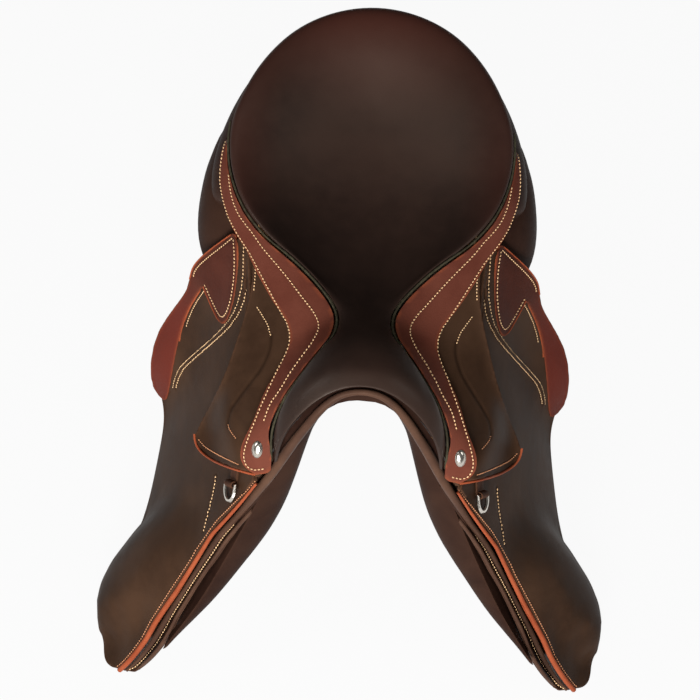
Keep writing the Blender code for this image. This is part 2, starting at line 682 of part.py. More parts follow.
# stations of the panel's rows, closer at its rounded front
PANEL_ROWS = (0, 0.25, 0.8, 1.8, 3.2, 4.8, 6.4, 8.0, 9.4, 10.5, 11.3, 12.1, 13.0, 14.0, 15.2, 16.6,
              17.8, 18.7)


def build_panel():
    def inner(station):
        """Share of the half width where the gullet channel's wall stands."""
        s = GULLET_HALF / max(core_face(1.0, station)[0], 0.02)
        return min(max(s, 0.30), 0.9)
    def top(s, v):
        """The panel's upper face: under the gullet plate at the front, else near the tree."""
        plated = 1 - smoothstep((v - 7.0) / 1.5)
        below = 0.0016 - 0.0007 * smoothstep((s - 1.0) / 0.15)
        return -below - (PLATE + GAP) * plated * (1 - smoothstep((s - 1.0) / 0.15))

    mesh = core_block("panel_left", 9, None, lambda s, v: top(s, v) - panel_thickness(s, v), top,
                      lambda k, v: inner(v) + (1.96 - inner(v)) * k / 9, on_mirror=False,
                      stations=PANEL_ROWS, even=0.4)
    pair("panel", mesh, DARK_LEATHER, (FRAME, FRAME))


DRAWN_BOTTOM = 0.463                # depth for which the flap's outline is drawn
FLAP_FRONT_DRAWN = profile((-2, 2.5), (12.7, 1.9), (19.8, 1.0), (25.8, -0.5), (33, -3.0), (38, -5.0),
                     (42, -6.4), (44.3, -6.7), (45.6, -5.5), (46.3, -3.0))
FLAP_REAR_DRAWN = profile((-2, 24.0), (5.4, 24.7), (9.5, 26.2), (13, 27.0), (16.4, 26.5), (22.4, 25.7),
                    (28, 25.3), (31.6, 24.2), (35, 22.0), (38, 19.2), (41, 15.4), (43.5, 11.4),
                    (45.4, 6.0), (46.3, 2.5))


def FLAP_FRONT(h):
    return FLAP_FRONT_DRAWN(h * DRAWN_BOTTOM / FLAP_BOTTOM)


def FLAP_REAR(h):
    return FLAP_REAR_DRAWN(h * DRAWN_BOTTOM / FLAP_BOTTOM)


def sweat_top(y):
    """Depth of the tree's lower edge at y, where the sweat flap starts."""
    v = 0.0
    for _ in range(40):
        v += 0.6 * (y - TREE_EDGE(v)[0]) / 0.018
        v = min(max(v, 0.0), 13.0)
    return TREE_EDGE(v)[1]


def sheet_rows(top, bottom, front, rear, inset=0.0):
    """Maps (u front to rear, v top to bottom) to y and depth inside a flap's outline."""
    def place_at(u, v):
        low = math.sin(v * math.pi / 2)
        y = front(bottom) + (rear(bottom) - front(bottom)) * u
        for _ in range(6):
            h = top(y) + (bottom - top(y)) * low
            y = (front(h) + inset) + (rear(h) - front(h) - 2 * inset) * u
        return y, h
    return place_at


def build_sweat_flap():
    rows = sheet_rows(lambda y: sweat_top(y) + 0.006, FLAP_BOTTOM - 0.012,
                      FLAP_FRONT,
                      lambda h: FLAP_REAR(h) - 0.030 - 0.024 * (1 - smoothstep((h - 0.13) / 0.10)))

    def face(depth):
        return lambda u, v: on_flap(*rows(u, v), depth, False)
    mesh = grid_block("sweat_flap_left", 10, 12, face(SWEAT_DEPTH), face(SWEAT_DEPTH + SWEAT_FLAP))
    pair("sweat_flap", mesh, DARK_LEATHER, (FRAME, FRAME))

    def block(name, centre, half):
        """Moulded foam block between the sweat flap and the flap."""
        def at(outer):
            def point(u, v):
                a, b = 2 * u - 1, 2 * v - 1
                a, b = a * math.sqrt(1 - b * b / 2), b * math.sqrt(1 - a * a / 2)
                y, h = centre[0] + half[0] * a, centre[1] + half[1] * b
                inner = on_flap(y, h, SWEAT_DEPTH - LOOSE, False)
                if not outer:
                    return inner
                top = on_flap(y, h, FLAP + LOOSE + 0.0021, True)
                fill = 1 - smoothstep((a * a + b * b - 0.80) / 0.20) * 0.55
                return inner + (top - inner) * fill
            return point
        pair(name, grid_block(name + "_left", 7, 8, at(True), at(False)), DARK_LEATHER,
             (FRAME, FRAME))
    block("knee_block", (KNEE_AT[0], FLAP_BOTTOM - 0.096), KNEE_BLOCK)
    block("thigh_block", (0.2215, FLAP_BOTTOM - 0.163), THIGH_BLOCK)


# flap, skirt and their fixed tops
def notch(y):
    """Extra depth of the flap's top edge behind the stirrup bar."""
    rise = smoothstep((y - BAR_FROM + 0.016) / 0.010) * (1 - smoothstep((y - BAR_TO - 0.020) / 0.012))
    return BAR_NOTCH * rise


def build_flap(flap_parents):
    rows = sheet_rows(lambda y: flap_top(y) + GAP + notch(y), FLAP_BOTTOM, FLAP_FRONT, FLAP_REAR)

    def face(depth):
        return lambda u, v: on_flap(*rows(1 - (1 - u)**1.35, v), depth)
    pair("flap", grid_block("flap_left", 16, 17, face(0.0), face(FLAP)), DARK_LEATHER, flap_parents)

    def root(depth):
        def point(u, v):
            y = 0.022 + (0.236 - 0.022) * u
            return on_flap(y, flap_top(y) - ROOT_WIDTH * (1 - v), depth + GAP)
        return point
    pair("flap_root", grid_block("flap_root_left", 12, 2, root(0.0), root(FLAP)), DARK_LEATHER,
         (FRAME, FRAME))

    patch_top = 0.066
    patch_front = profile((0, 24.3), (0.4, 22.7), (0.8, 20.6), (1.0, 20.0))
    patch_foot = profile((0, 15.3), (0.25, 15.7), (0.6, 14.5), (0.75, 14.5), (1.0, 16.2))

    def patch(depth):
        def point(u, v):
            h = patch_top + (patch_foot(u * CM) - patch_top) * v
            front, rear = patch_front(v * CM), FLAP_REAR(h) - 0.0015
            return on_flap(front + (rear - front) * u, h, -depth)
        return point
    pair("flap_patch", grid_block("flap_patch_left", 7, 8, patch(OVERLAY + PATCH), patch(OVERLAY)),
         BURGUNDY, flap_parents)

    def heel(depth):
        def point(u, v):
            h = rows(1.0, (3 + 6 * v) / 17)[1]
            rear = FLAP_REAR(h) - 0.0015
            front = rear - (0.003 + 0.032 * math.sin(math.pi * v)**0.75)
            return on_flap(front + (rear - front) * u, h, -depth)
        return point
    pair("flap_heel", grid_block("flap_heel_left", 3, 6, heel(OVERLAY + PATCH), heel(OVERLAY)),
         RED_LEATHER, flap_parents)

    line = []
    for k in range(15):
        y, h = rows(0.0, k / 17)
        p = on_flap(y, h, FLAP * 0.5)
        forward = p - on_flap(y + 0.01, h, FLAP * 0.5)
        line.append(p + forward * ((FLAP_PIPING_RADIUS + SEAM) / np.linalg.norm(forward)))
    pair("flap_piping", tube_mesh("flap_piping_left", line, FLAP_PIPING_RADIUS, 1), ORANGE_EDGE,
         flap_parents)


def facing_underside(y):
    """Point under the facing near its outer edge at y, where the skirt is nailed."""
    v = 1.0
    for _ in range(40):
        v = min(max(v + 0.6 * (y - FACING_EDGE(v)[1]) / 0.02, 1.0), 14.0)
    return offset(facing_face, 1 - ROOT_TUCK / seam_width(v), v, -FACING - GAP - LOOSE - 0.0003)


SKIRT_REAR = track((12.8, 22.5, 6.6), (12.0, 19.4, 9.4), (12.5, 16.8, 12.6), (14.3, 14.0, 17.6),
                   (16.3, 11.6, 21.2), (16.6, 10.4, 22.2))
SKIRT_FOOT = track((11.6, 2.3, 14.3), (11.9, 4.2, 17.6), (13.2, 6.1, 20.0), (14.9, 8.0, 21.6),
                   (16.6, 10.4, 22.2))


def skirt_place(u, v):
    """y, depth and stand-off of the skirt: u along the hinge line, v down."""
    top = hinge_point(HINGE_FRONT[1] + 0.004 + (HINGE_REAR[1] - HINGE_FRONT[1] - 0.004) * u)
    ht = -top[2]
    foot = SKIRT_FOOT(4 * u)
    rear = SKIRT_REAR(5 * v)
    top_end, foot_end = SKIRT_REAR(0), SKIRT_REAR(5)
    y = top[1] + (foot[1] - top[1]) * v
    h = ht + (foot[2] - ht) * v
    y += u**3 * (rear[1] - (top_end[1] + (foot_end[1] - top_end[1]) * v))
    h += u**3 * (rear[2] - (top_end[2] + (foot_end[2] - top_end[2]) * v))
    start = top[0] - flap_face(top[1], ht)
    low = (SKIRT + LOOSE + 0.0012) * 1.15
    pocket = 0.0105 * math.sin(math.pi * min(v * 1.15, 1.0)) * math.sin(math.pi * min(u * 1.1, 1.0))
    stand = start + (low - start) * smoothstep((v - 0.10) / 0.85) + pocket
    dee = 0.0030 * math.exp(-((y - DEE_AT[0]) / 0.020)**2 - ((h - DEE_AT[1]) / 0.022)**2)
    return y, h, max(stand, low) + dee


def skirt_point(u, v, depth):
    """Point of the skirt, which stands off the flap and meets the hinge line at v = 0."""
    y, h, stand = skirt_place(u, v)
    return on_flap(y, h, depth) + np.array([stand, 0.0, 0.0])


def build_skirt(flap_parents, skirt_parents):
    def face(depth):
        return lambda u, v: skirt_point(u, v, depth)
    pair("skirt", grid_block("skirt_left", 9, 9, face(0.0), face(SKIRT)), DARK_LEATHER,
         skirt_parents)
    line = []
    for i in range(19):
        p = skirt_point(0.03 + 0.94 * i / 18, 1.0, SKIRT * 0.5)
        out = p - skirt_point(0.03 + 0.94 * i / 18, 0.96, SKIRT * 0.5)
        line.append(p + out * ((SKIRT_PIPING_RADIUS + SEAM) / np.linalg.norm(out)))
    pair("skirt_piping", tube_mesh("skirt_piping_left", line, SKIRT_PIPING_RADIUS, 0), ORANGE_EDGE,
         skirt_parents)

    def root(depth):
        def point(u, v):
            y = 0.056 + (0.222 - 0.056) * u
            hinge = hinge_point(y)
            inner = facing_underside(y)
            back = hinge - inner
            hinge = hinge - back * (0.0065 / np.linalg.norm(back))
            n = np.array([hinge[2] - inner[2], 0.0, inner[0] - hinge[0]])
            n = -n / np.linalg.norm(n)
            bow = 0.002 * math.sin(math.pi * max(0.0, v - 0.3) / 0.7)
            return inner + (hinge - inner) * v + n * (bow - depth)
        return point
    pair("skirt_root", grid_block("skirt_root_left", 12, 3, root(0.0), root(ROOT)), DARK_LEATHER,
         (FRAME, FRAME))


# steel fittings and straps
def bar_frame():
    """Frame on the tree's outer face behind the head: X out of the face, Y to the rear."""
    a = on_flap(BAR_FROM, -hinge_point(BAR_FROM)[2] + BAR_DROP, BAR_BACK, False)
    b = on_flap(BAR_TO, -hinge_point(BAR_TO)[2] + BAR_DROP, BAR_BACK, False)
    mid = (BAR_FROM + BAR_TO) / 2
    depth = -hinge_point(mid)[2] + BAR_DROP
    out = on_flap(mid, depth, 0.0, False) - on_flap(mid, depth, 0.01, False)
    along = Vector(b - a).normalized()
    out = Vector(out)
    out = (out - along * out.dot(along)).normalized()
    up = out.cross(along)
    m = Matrix((out, along, up)).transposed().to_4x4()
    m.translation = Vector(a)
    return m, (Vector(b) - Vector(a)).length


def drill(mesh, frame, at, radius, depth):
    """Mesh with a round hole through it, along the frame's X axis."""
    data = bpy.data.meshes.new("drill")
    bm = bmesh.new()
    turn = Matrix.Translation(at) @ Matrix.Rotation(math.pi / 2, 4, "Y")
    bmesh.ops.create_cone(bm, cap_ends=True, segments=12, radius1=radius, radius2=radius,
                          depth=depth, matrix=frame @ turn)
    bm.to_mesh(data)
    bm.free()
    cutter = bpy.data.objects.new("drill", data)
    CUTTERS.objects.link(cutter)
    body = bpy.data.objects.new("body", mesh)
    CUTTERS.objects.link(body)
    cut = body.modifiers.new("Hole", "BOOLEAN")
    cut.operation, cut.object = "DIFFERENCE", cutter
    bpy.context.view_layer.update()
    done = bpy.data.meshes.new_from_object(
        body.evaluated_get(bpy.context.evaluated_depsgraph_get()))
    done.name = mesh.name
    bpy.data.objects.remove(body)
    bpy.data.objects.remove(cutter)
    return done


def joint_pair(base, at, parents):
    """Empties on both sides of the saddle at a joint's axis."""
    return [empty(base + "_left", at, parents[0]),
            empty(base + "_right", (-at[0], at[1], at[2]), parents[1])]


def build_stirrup_bar():
    """Forged bar: plate on the tree, arm in front, open at the rear behind a pivoted catch."""
    frame, length = bar_frame()
    plate, t = 0.0030, BAR_THICK
    reach = plate + BAR_SLOT + t
    end = length * 0.84
    tongue = CATCH_LENGTH * 0.5
    web = t * 0.45                                   # thin tongue that carries the catch
    hook = [(0, -0.004), (reach - 0.003, -0.004), (reach - 0.0008, -0.0025), (reach, 0.0),
            (reach, end + tongue - 0.001), (reach - web, end + tongue), (reach - web, end),
            (reach - t, end), (reach - t, 0.006), (reach - t - 0.002, 0.004),
            (plate + 0.002, 0.004), (plate, 0.006), (plate, length - 0.003),
            (plate - 0.001, length), (0, length)]
    bar = outline_mesh("stirrup_bar_left", hook, BAR_HEIGHT, frame)
    pivot = (reach - web - GAP, end + tongue * 0.5, 0.0)
    pair("stirrup_bar", drill(bar, frame, pivot, CATCH_PIN + GAP, 4 * t), STEEL, (FRAME, FRAME))

    # catch: a thumb lever beside the tongue, in line with the bar when it is down
    half, nose = tongue * 0.5 - GAP, CATCH_LENGTH
    lever = [(-half * math.cos(a), half * math.sin(a)) for a in
             (math.radians(90 - 30 * k) for k in range(7))]
    lever += [(nose * 0.7, -half), (nose, -half * 0.6), (nose + 0.001, 0.0),
              (nose, half * 0.6), (nose * 0.7, half)]
    thick = t - web - 2 * GAP
    lie = frame @ Matrix.Translation((reach - web - GAP - thick / 2, pivot[1], 0.0))
    lie = lie @ Matrix(((0, 0, 1, 0), (1, 0, 0, 0), (0, 1, 0, 0), (0, 0, 0, 1)))
    catch = outline_mesh("bar_catch_left", lever, thick, lie)
    catch = drill(catch, frame, pivot, CATCH_PIN + GAP, 4 * t)
    at = frame @ Vector(pivot)
    pair("bar_catch", catch, STEEL, joint_pair("catch_axis", at, (FRAME, FRAME)))
    pin = bpy.data.meshes.new("catch_pin_left")
    bm = bmesh.new()
    span = t + 2 * GAP
    for radius, depth, mid in ((CATCH_PIN, span, -span / 2 + GAP + web),):
        turn = Matrix.Translation((reach - t / 2, pivot[1], 0.0)) @ Matrix.Rotation(math.pi / 2, 4, "Y")
        bmesh.ops.create_cone(bm, cap_ends=True, segments=12, radius1=radius, radius2=radius,
                              depth=depth, matrix=frame @ turn)
    bm.to_mesh(pin)
    bm.free()
    pair("catch_pin", pin, STEEL, (FRAME, FRAME))


def build_billets():
    half = BILLET_WIDTH / 2
    for number, y in enumerate(BILLET_ROWS, 1):
        top = sweat_top(y) + LOOSE + 0.004
        end = BILLET_END - 0.5 * (y - BILLET_ROWS[0])
        near = 0.0006 if number == 1 else 0.0

        def strap(depth):
            def point(u, v):
                low = end - top
                taper = smoothstep((v * low - low + 1.8 * half) / (1.8 * half))
                side = (2 * u - 1) * half * (1 - 0.72 * taper**2)
                tip = 1 - 0.25 * half / low * abs(2 * u - 1) * smoothstep((v - 0.8) / 0.2)
                return on_flap(y + side, top + low * v * tip, depth - near, False)
            return point
        mesh = grid_block("billet_%d_left" % number, 2, 11, strap(BILLET_DEPTH),
                          strap(BILLET_DEPTH + BILLET))
        hinge = on_flap(y, top + 0.010, BILLET_DEPTH + BILLET / 2, False)
        pair("billet_%d" % number, mesh, BRIDLE_LEATHER,
             joint_pair("billet_%d_axis" % number, hinge, (FRAME, FRAME)))
    first, last = BILLET_ROWS[0] - half - 0.006, BILLET_ROWS[-1] + half + 0.004

    def guard(depth):
        def point(u, v):
            y = first + (last - first) * u
            top = sweat_top(y) + WEB_DROP + 0.004
            drop = 0.080 - 0.014 * (2 * u - 1)**2
            return on_flap(y, top + drop * v, depth, False)
        return point
    pair("billet_guard", grid_block("billet_guard_left", 6, 4, guard(GUARD_DEPTH),
                                    guard(GUARD_DEPTH + GUARD)), DARK_LEATHER, (FRAME, FRAME))


def build_dee(flap_parents):
    """Silver dee in a leather chape on the flap, just under the skirt's lower edge."""
    y, h = DEE_AT
    at = on_flap(y, h, 0.0)
    out = Vector(on_flap(y, h, 0.0) - on_flap(y, h, 0.01)).normalized()
    down = Vector(on_flap(y + 0.01 * DEE_HANG[0], h + 0.01 * DEE_HANG[1], 0.0) - at)
    down = (down - out * down.dot(out)).normalized()
    side = down.cross(out)
    frame = Matrix((down, out, side)).transposed().to_4x4()
    frame.translation = Vector(at)
    bore = DEE_WIRE + 0.0006
    fold = bore + 0.0014
    centre = CHAPE_SEAT + fold
    width = DEE_WIDTH - 4 * DEE_WIRE
    loop = [(-0.020, CHAPE_SEAT + 0.0016), (-0.004, CHAPE_SEAT + 0.0016)]
    loop += [(fold * math.cos(a), centre + fold * math.sin(a)) for a in
             (math.radians(d) for d in range(150, -91, -30))]
    loop += [(-0.020, CHAPE_SEAT)]
    hole = [(bore * math.cos(a), centre + bore * math.sin(a)) for a in
            (math.radians(d) for d in range(0, 360, 30))]
    tab = outline_mesh("dee_chape_left", loop, width, frame)
    data = outline_mesh("bore", hole, width * 2, frame)
    pair("dee_chape", cut_out(tab, data), DARK_LEATHER, flap_parents)
    ring = []
    half = DEE_WIDTH / 2
    for k in range(5):
        ring.append(Vector((0.0, 0.0, -half + DEE_WIDTH * k / 4)))
    for k in range(1, 10):
        a = math.pi * k / 10
        ring.append(Vector((DEE_DROP * math.sin(a)**0.75, 0.0, half * math.cos(a) * 1.02)))
    points = [frame @ (p + Vector((0, centre, 0))) for p in ring]
    hinge = frame @ Vector((0, centre, 0))
    mesh = tube_mesh("dee_left", points, DEE_WIRE, 1, closed=True)
    pair("dee", mesh, SILVER, joint_pair("dee_axis", hinge, flap_parents))


def cut_out(mesh, tool):
    """Mesh less the tool's shape."""
    body, cutter = bpy.data.objects.new("body", mesh), bpy.data.objects.new("tool", tool)
    CUTTERS.objects.link(body)
    CUTTERS.objects.link(cutter)
    cut = body.modifiers.new("Cut", "BOOLEAN")
    cut.operation, cut.object = "DIFFERENCE", cutter
    bpy.context.view_layer.update()
    done = bpy.data.meshes.new_from_object(
        body.evaluated_get(bpy.context.evaluated_depsgraph_get()))
    done.name = mesh.name
    bpy.data.objects.remove(body)
    bpy.data.objects.remove(cutter)
    return done


def build():
    build_seat()
    build_tree()
    build_facing()
    build_cantle_back()
    build_panel()
    build_sweat_flap()
    hinges = [empty("flap_hinge_left", HINGE_FRONT, FRAME),
              empty("flap_hinge_right", (-HINGE_FRONT[0], *HINGE_FRONT[1:]), FRAME)]
    skirts = [empty("skirt_hinge_left", HINGE_FRONT, hinges[0]),
              empty("skirt_hinge_right", (-HINGE_FRONT[0], *HINGE_FRONT[1:]), hinges[1])]
    build_flap(hinges)
    build_skirt(hinges, skirts)
    build_dee(hinges)
    build_stirrup_bar()
    build_billets()


for old in list(bpy.data.objects):
    bpy.data.objects.remove(old)
PARTS = bpy.data.collections.new("jumping_saddle")
bpy.context.scene.collection.children.link(PARTS)
CUTTERS = bpy.data.collections.new("cutters")
bpy.context.scene.collection.children.link(CUTTERS)
FRAME = bpy.data.objects.new("saddle_frame", None)
PARTS.objects.link(FRAME)
FRAME.location = SADDLE_FRAME
build()
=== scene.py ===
import json
import math

import bmesh
import bpy
import numpy as np
from mathutils import Matrix, Vector, noise
from mathutils.bvhtree import BVHTree
from mathutils.kdtree import KDTree

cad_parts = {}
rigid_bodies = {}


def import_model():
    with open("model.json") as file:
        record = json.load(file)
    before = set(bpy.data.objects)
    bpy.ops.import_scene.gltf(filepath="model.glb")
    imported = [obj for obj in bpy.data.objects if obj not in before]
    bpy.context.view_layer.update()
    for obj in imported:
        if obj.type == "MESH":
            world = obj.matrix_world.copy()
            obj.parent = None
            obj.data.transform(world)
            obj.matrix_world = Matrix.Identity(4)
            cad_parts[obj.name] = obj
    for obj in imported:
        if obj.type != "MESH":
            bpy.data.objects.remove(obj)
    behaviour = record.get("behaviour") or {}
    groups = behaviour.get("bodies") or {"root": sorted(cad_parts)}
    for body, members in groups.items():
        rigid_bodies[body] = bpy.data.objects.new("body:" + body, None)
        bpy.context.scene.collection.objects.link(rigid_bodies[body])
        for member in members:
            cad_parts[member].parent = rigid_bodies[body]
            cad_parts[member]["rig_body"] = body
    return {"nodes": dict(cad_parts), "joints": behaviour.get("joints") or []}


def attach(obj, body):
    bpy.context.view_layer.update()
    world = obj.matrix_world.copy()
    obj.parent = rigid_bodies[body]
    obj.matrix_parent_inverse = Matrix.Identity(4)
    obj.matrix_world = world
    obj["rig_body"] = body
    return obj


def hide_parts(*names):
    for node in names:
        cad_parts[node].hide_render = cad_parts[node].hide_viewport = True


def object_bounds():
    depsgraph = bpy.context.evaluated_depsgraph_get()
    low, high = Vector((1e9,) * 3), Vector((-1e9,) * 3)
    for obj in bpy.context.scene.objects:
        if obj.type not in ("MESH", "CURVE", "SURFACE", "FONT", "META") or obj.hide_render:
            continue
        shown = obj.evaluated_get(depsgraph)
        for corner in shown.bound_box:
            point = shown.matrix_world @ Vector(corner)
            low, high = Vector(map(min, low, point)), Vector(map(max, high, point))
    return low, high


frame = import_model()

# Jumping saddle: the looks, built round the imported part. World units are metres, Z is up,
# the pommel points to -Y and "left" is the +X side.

cad_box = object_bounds()

MM = 0.001
PICTURE = 700                 # the picture's side in pixels
SENSOR = 36.0
CAMERA_TURN = -0.2            # degrees round the saddle
CAMERA_HEIGHT = 58.4          # degrees above the horizon
CAMERA_ROLL = 2.7
CAMERA_REACH = 1.624          # distance from what it looks at
CAMERA_AIM = Vector((-0.0128, -0.08, 0.01))
PIXELS_PER_METRE = 1015       # at the point that it looks at

SIDES = (("right", -1), ("left", 1))

SHARP = math.radians(50)          # an edge of a CAD piece that stays an edge
BEVELLED = math.radians(40)       # an edge that is rounded after subdivision
RIM_TURN = math.radians(20)       # an edge that counts as the piece's rim, for wear
TUCKED_IN = 6 * MM                # a rim this near to a seam is hidden, so it doesn't wear
SCUFF = 0.35                      # how much the scratches show in the leather

OUTLINE_PITCH = 1.4               # pixels between the points of a sheet's outline
SNAP_ROUNDS = 4                   # rounds that settle a sheet's border on its outline
BUMP = 3 * MM                     # the most that a bump below a sheet lifts it
IN_FRONT = 3.5 * MM               # how far a sheet stays in front of the piece that it covers
BEHIND = 4 * MM                   # how far a sheet stays behind the piece that covers it
BAND_ROWS = 120                   # faces along a band
EDGE_REACH = 0.026                # how far the seat's edge pulls the seat with it


# camera, lamps and floor

def put(name, data):
    """A new object in the scene."""
    obj = bpy.data.objects.new(name, data)
    bpy.context.scene.collection.objects.link(obj)
    return obj


def aimed(place, at, roll=0.0):
    """The matrix of a camera or lamp at a place that looks at a point."""
    back = (Vector(place) - Vector(at)).normalized()
    turn = back.to_track_quat("Z", "Y").to_matrix().to_4x4()
    return Matrix.Translation(place) @ turn @ Matrix.Rotation(math.radians(roll), 4, "Z")


def make_camera():
    turn, height = math.radians(CAMERA_TURN), math.radians(CAMERA_HEIGHT)
    back = Vector((math.sin(turn) * math.cos(height), -math.cos(turn) * math.cos(height), math.sin(height)))
    camera = put("photo_camera", bpy.data.cameras.new("photo_camera"))
    camera.data.sensor_width = SENSOR
    camera.data.lens = SENSOR * PIXELS_PER_METRE * CAMERA_REACH / PICTURE
    camera.matrix_world = aimed(CAMERA_AIM + back * CAMERA_REACH, CAMERA_AIM, CAMERA_ROLL)
    bpy.context.scene.camera = camera
    return camera.matrix_world.copy()


VIEW = make_camera()
FOCAL = PIXELS_PER_METRE * CAMERA_REACH


def make_lamp(name, place, at, width, height, power):
    data = bpy.data.lights.new(name, "AREA")
    data.shape, data.size, data.size_y, data.energy = "RECTANGLE", width, height, power
    lamp = put(name, data)
    lamp.matrix_world = aimed(place, at)


# shader nodes

class Value:
    """A shader number in a Python expression: each operator adds its Math node."""

    def __init__(self, shading, socket):
        self.shading, self.socket = shading, socket

    def _math(self, operation, *others, clamp=False):
        node = self.shading.add("ShaderNodeMath", {"operation": operation, "use_clamp": clamp},
                                dict(enumerate((self, *others))))
        return Value(self.shading, node.outputs[0])

    def __add__(self, other): return self._math("ADD", other)
    def __sub__(self, other): return self._math("SUBTRACT", other)
    def __mul__(self, other): return self._math("MULTIPLY", other)
    __radd__, __rmul__ = __add__, __mul__

    def sine(self): return self._math("SINE")
    def above(self, other): return self._math("MAXIMUM", other)
    def clipped(self): return self._math("ADD", 0.0, clamp=True)

    def step(self, low, high):
        """0 below low and 1 above high, smooth between them."""
        node = self.shading.add("ShaderNodeMapRange", {"interpolation_type": "SMOOTHSTEP"},
                                {"Value": self, "From Min": low, "From Max": high})
        return Value(self.shading, node.outputs[0])


class Shading:
    """The nodes of one finish."""

    def __init__(self, name):
        self.material = bpy.data.materials.new(name)
        self.material.use_nodes = True
        self.tree = self.material.node_tree
        self.skin = self.tree.nodes["Principled BSDF"]
        self.place = self.add("ShaderNodeTexCoord", {}, {}).outputs["Object"]

    def add(self, kind, settings, sockets):
        node = self.tree.nodes.new(kind)
        for key, value in settings.items():
            if key == "stops":
                ramp = node.color_ramp
                while len(ramp.elements) < len(value):
                    ramp.elements.new(0.5)
                for element, (at, colour) in zip(ramp.elements, value):
                    element.position, element.color = at, (*colour, 1.0)
            else:
                setattr(node, key, value)
        for key, value in sockets.items():
            self.plug(node.inputs[key], value)
        return node

    def plug(self, socket, value):
        if isinstance(value, Value):
            value = value.socket
        if isinstance(value, bpy.types.NodeSocket):
            self.tree.links.new(value, socket)
        elif socket.type == "RGBA" and len(value) == 3:
            socket.default_value = (*value, 1.0)
        else:
            socket.default_value = value

    def stretched(self, scale, turn=(0, 0, 0)):
        """The piece's own coordinates, stretched and turned, for a texture that runs one way."""
        node = self.add("ShaderNodeMapping", {}, {"Vector": self.place, "Scale": scale, "Rotation": turn})
        return node.outputs[0]

    def cloud(self, scale, detail=3.0, rough=0.55, place=None, warp=0.0):
        node = self.add("ShaderNodeTexNoise", {}, {"Vector": place or self.place, "Scale": scale,
                                                   "Detail": detail, "Roughness": rough, "Distortion": warp})
        return Value(self, node.outputs[0])

    def cells(self, scale, feature="F1", place=None):
        node = self.add("ShaderNodeTexVoronoi", {"feature": feature},
                        {"Vector": place or self.place, "Scale": scale})
        return Value(self, node.outputs["Distance"])

    def mark(self, name):
        """A number kept on the piece's own points."""
        node = self.add("ShaderNodeAttribute", {"attribute_name": name}, {})
        return Value(self, node.outputs["Fac"])

    def mix(self, share, first, second):
        return self.add("ShaderNodeMix", {"data_type": "RGBA"}, {0: share, 6: first, 7: second}).outputs[2]

    def bump(self, height, distance, strength=1.0):
        node = self.add("ShaderNodeBump", {}, {"Height": height, "Distance": distance, "Strength": strength})
        self.plug(self.skin.inputs["Normal"], node.outputs[0])

    def finish(self, **sockets):
        """Sets the surface's sockets, named as the shader names them with _ for a space."""
        for key, value in sockets.items():
            self.plug(self.skin.inputs[key.replace("_", " ")], value)
        return self.material


def srgb(red, green, blue):
    """A colour as a picture writes it, for a shader."""
    return tuple((c / 255 / 12.92) if c <= 10 else ((c / 255 + 0.055) / 1.055)**2.4 for c in (red, green, blue))


def leather(name, dark, light, edge, rough=0.42, grain=520, grain_depth=0.00012, mottle=9.0, coat=0.0,
            specular=0.02, warm=None, worn=0.7):
    """Finished hide: mottled dye, fine pebbled grain, pores, edges worn lighter, and painted shade that darkens
    its pressed grooves.
    Warm is a second colour that shows where the piece's warm mark is. Worn is how broken its edge colour is."""
    s = Shading(name)
    dye = s.cloud(mottle, 4, 0.6, warp=0.4)
    body = s.mix(dye.step(0.32, 0.72), dark, light)
    fine = s.cloud(70, 3, 0.6)
    body = s.mix(fine.step(0.35, 0.75) * 0.35, body, light)
    if warm:
        body = s.mix((s.mark("warm") * (0.7 + 0.4 * s.cloud(14, 3))).clipped(), body, warm)
    broken = s.cloud(160, 3, 0.7).step(0.36, 0.62)
    wear = s.mark("rim") * (broken * worn + (1.0 - worn))
    body = s.mix(wear * 0.85, body, edge)
    # painted shade: the grooves' colour goes toward a third of the dark dye, and they are rougher
    press = s.mark("press")
    body = s.mix(press * 0.7, body, tuple(0.3 * c for c in dark))
    pebble = s.cells(grain, "SMOOTH_F1")
    creases = s.cells(grain * 0.45, "DISTANCE_TO_EDGE", s.stretched((1, 1.35, 0.8), (0.4, 0.3, 0.9)))
    pores = s.cloud(grain * 3.2, 2, 0.5)
    scratches = s.cloud(60, 5, 0.7, s.stretched((1, 14, 2.5), (0.5, 0.2, 0.7))).step(0.60, 0.74)
    roughness = rough + 0.13 * (fine - 0.5) + 0.10 * (s.cloud(5, 2) - 0.5) + 0.10 * press
    roughness = roughness + scratches * SCUFF * 0.2 + 0.08 * wear
    grain_height = pebble * 0.75 + creases.step(0.0, 0.10) * 0.5 + pores * 0.22
    s.bump(grain_height - scratches * 0.2 * SCUFF, grain_depth, 0.75)
    return s.finish(Base_Color=body, Roughness=roughness.clipped(), Coat_Weight=coat, Coat_Roughness=0.3,
                    Coat_Tint=(0.9, 0.78, 0.66, 1.0), Specular_IOR_Level=specular,
                    Specular_Tint=(0.78, 0.64, 0.52, 1.0))


DARK = srgb(50, 34, 24)
DARK_LIGHT = srgb(68, 48, 35)
SEAT_DARK = srgb(29, 18, 15)
SEAT_LIGHT = srgb(41, 27, 22)
SEAT_WARM = srgb(64, 31, 24)
BURGUNDY = srgb(86, 44, 34)
BURGUNDY_LIGHT = srgb(100, 55, 43)
PATCH = srgb(64, 33, 26)
PATCH_LIGHT = srgb(80, 43, 34)
RED = srgb(98, 43, 34)
PANEL = srgb(40, 25, 20)
PANEL_LIGHT = srgb(54, 36, 28)
EDGE_BROWN = srgb(84, 58, 43)
EDGE_ORANGE = srgb(128, 66, 44)
ORANGE = srgb(134, 64, 40)
CREAM = srgb(238, 200, 150)


# pieces

pieces = {}


def fresh(name, mesh, finish, body):
    """A finished piece that rides on a body: a mesh with its place in its points."""
    obj = put(name, mesh)
    mesh.materials.clear()
    mesh.materials.append(finish)
    for face in mesh.polygons:
        face.use_smooth = True
    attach(obj, body)
    return obj


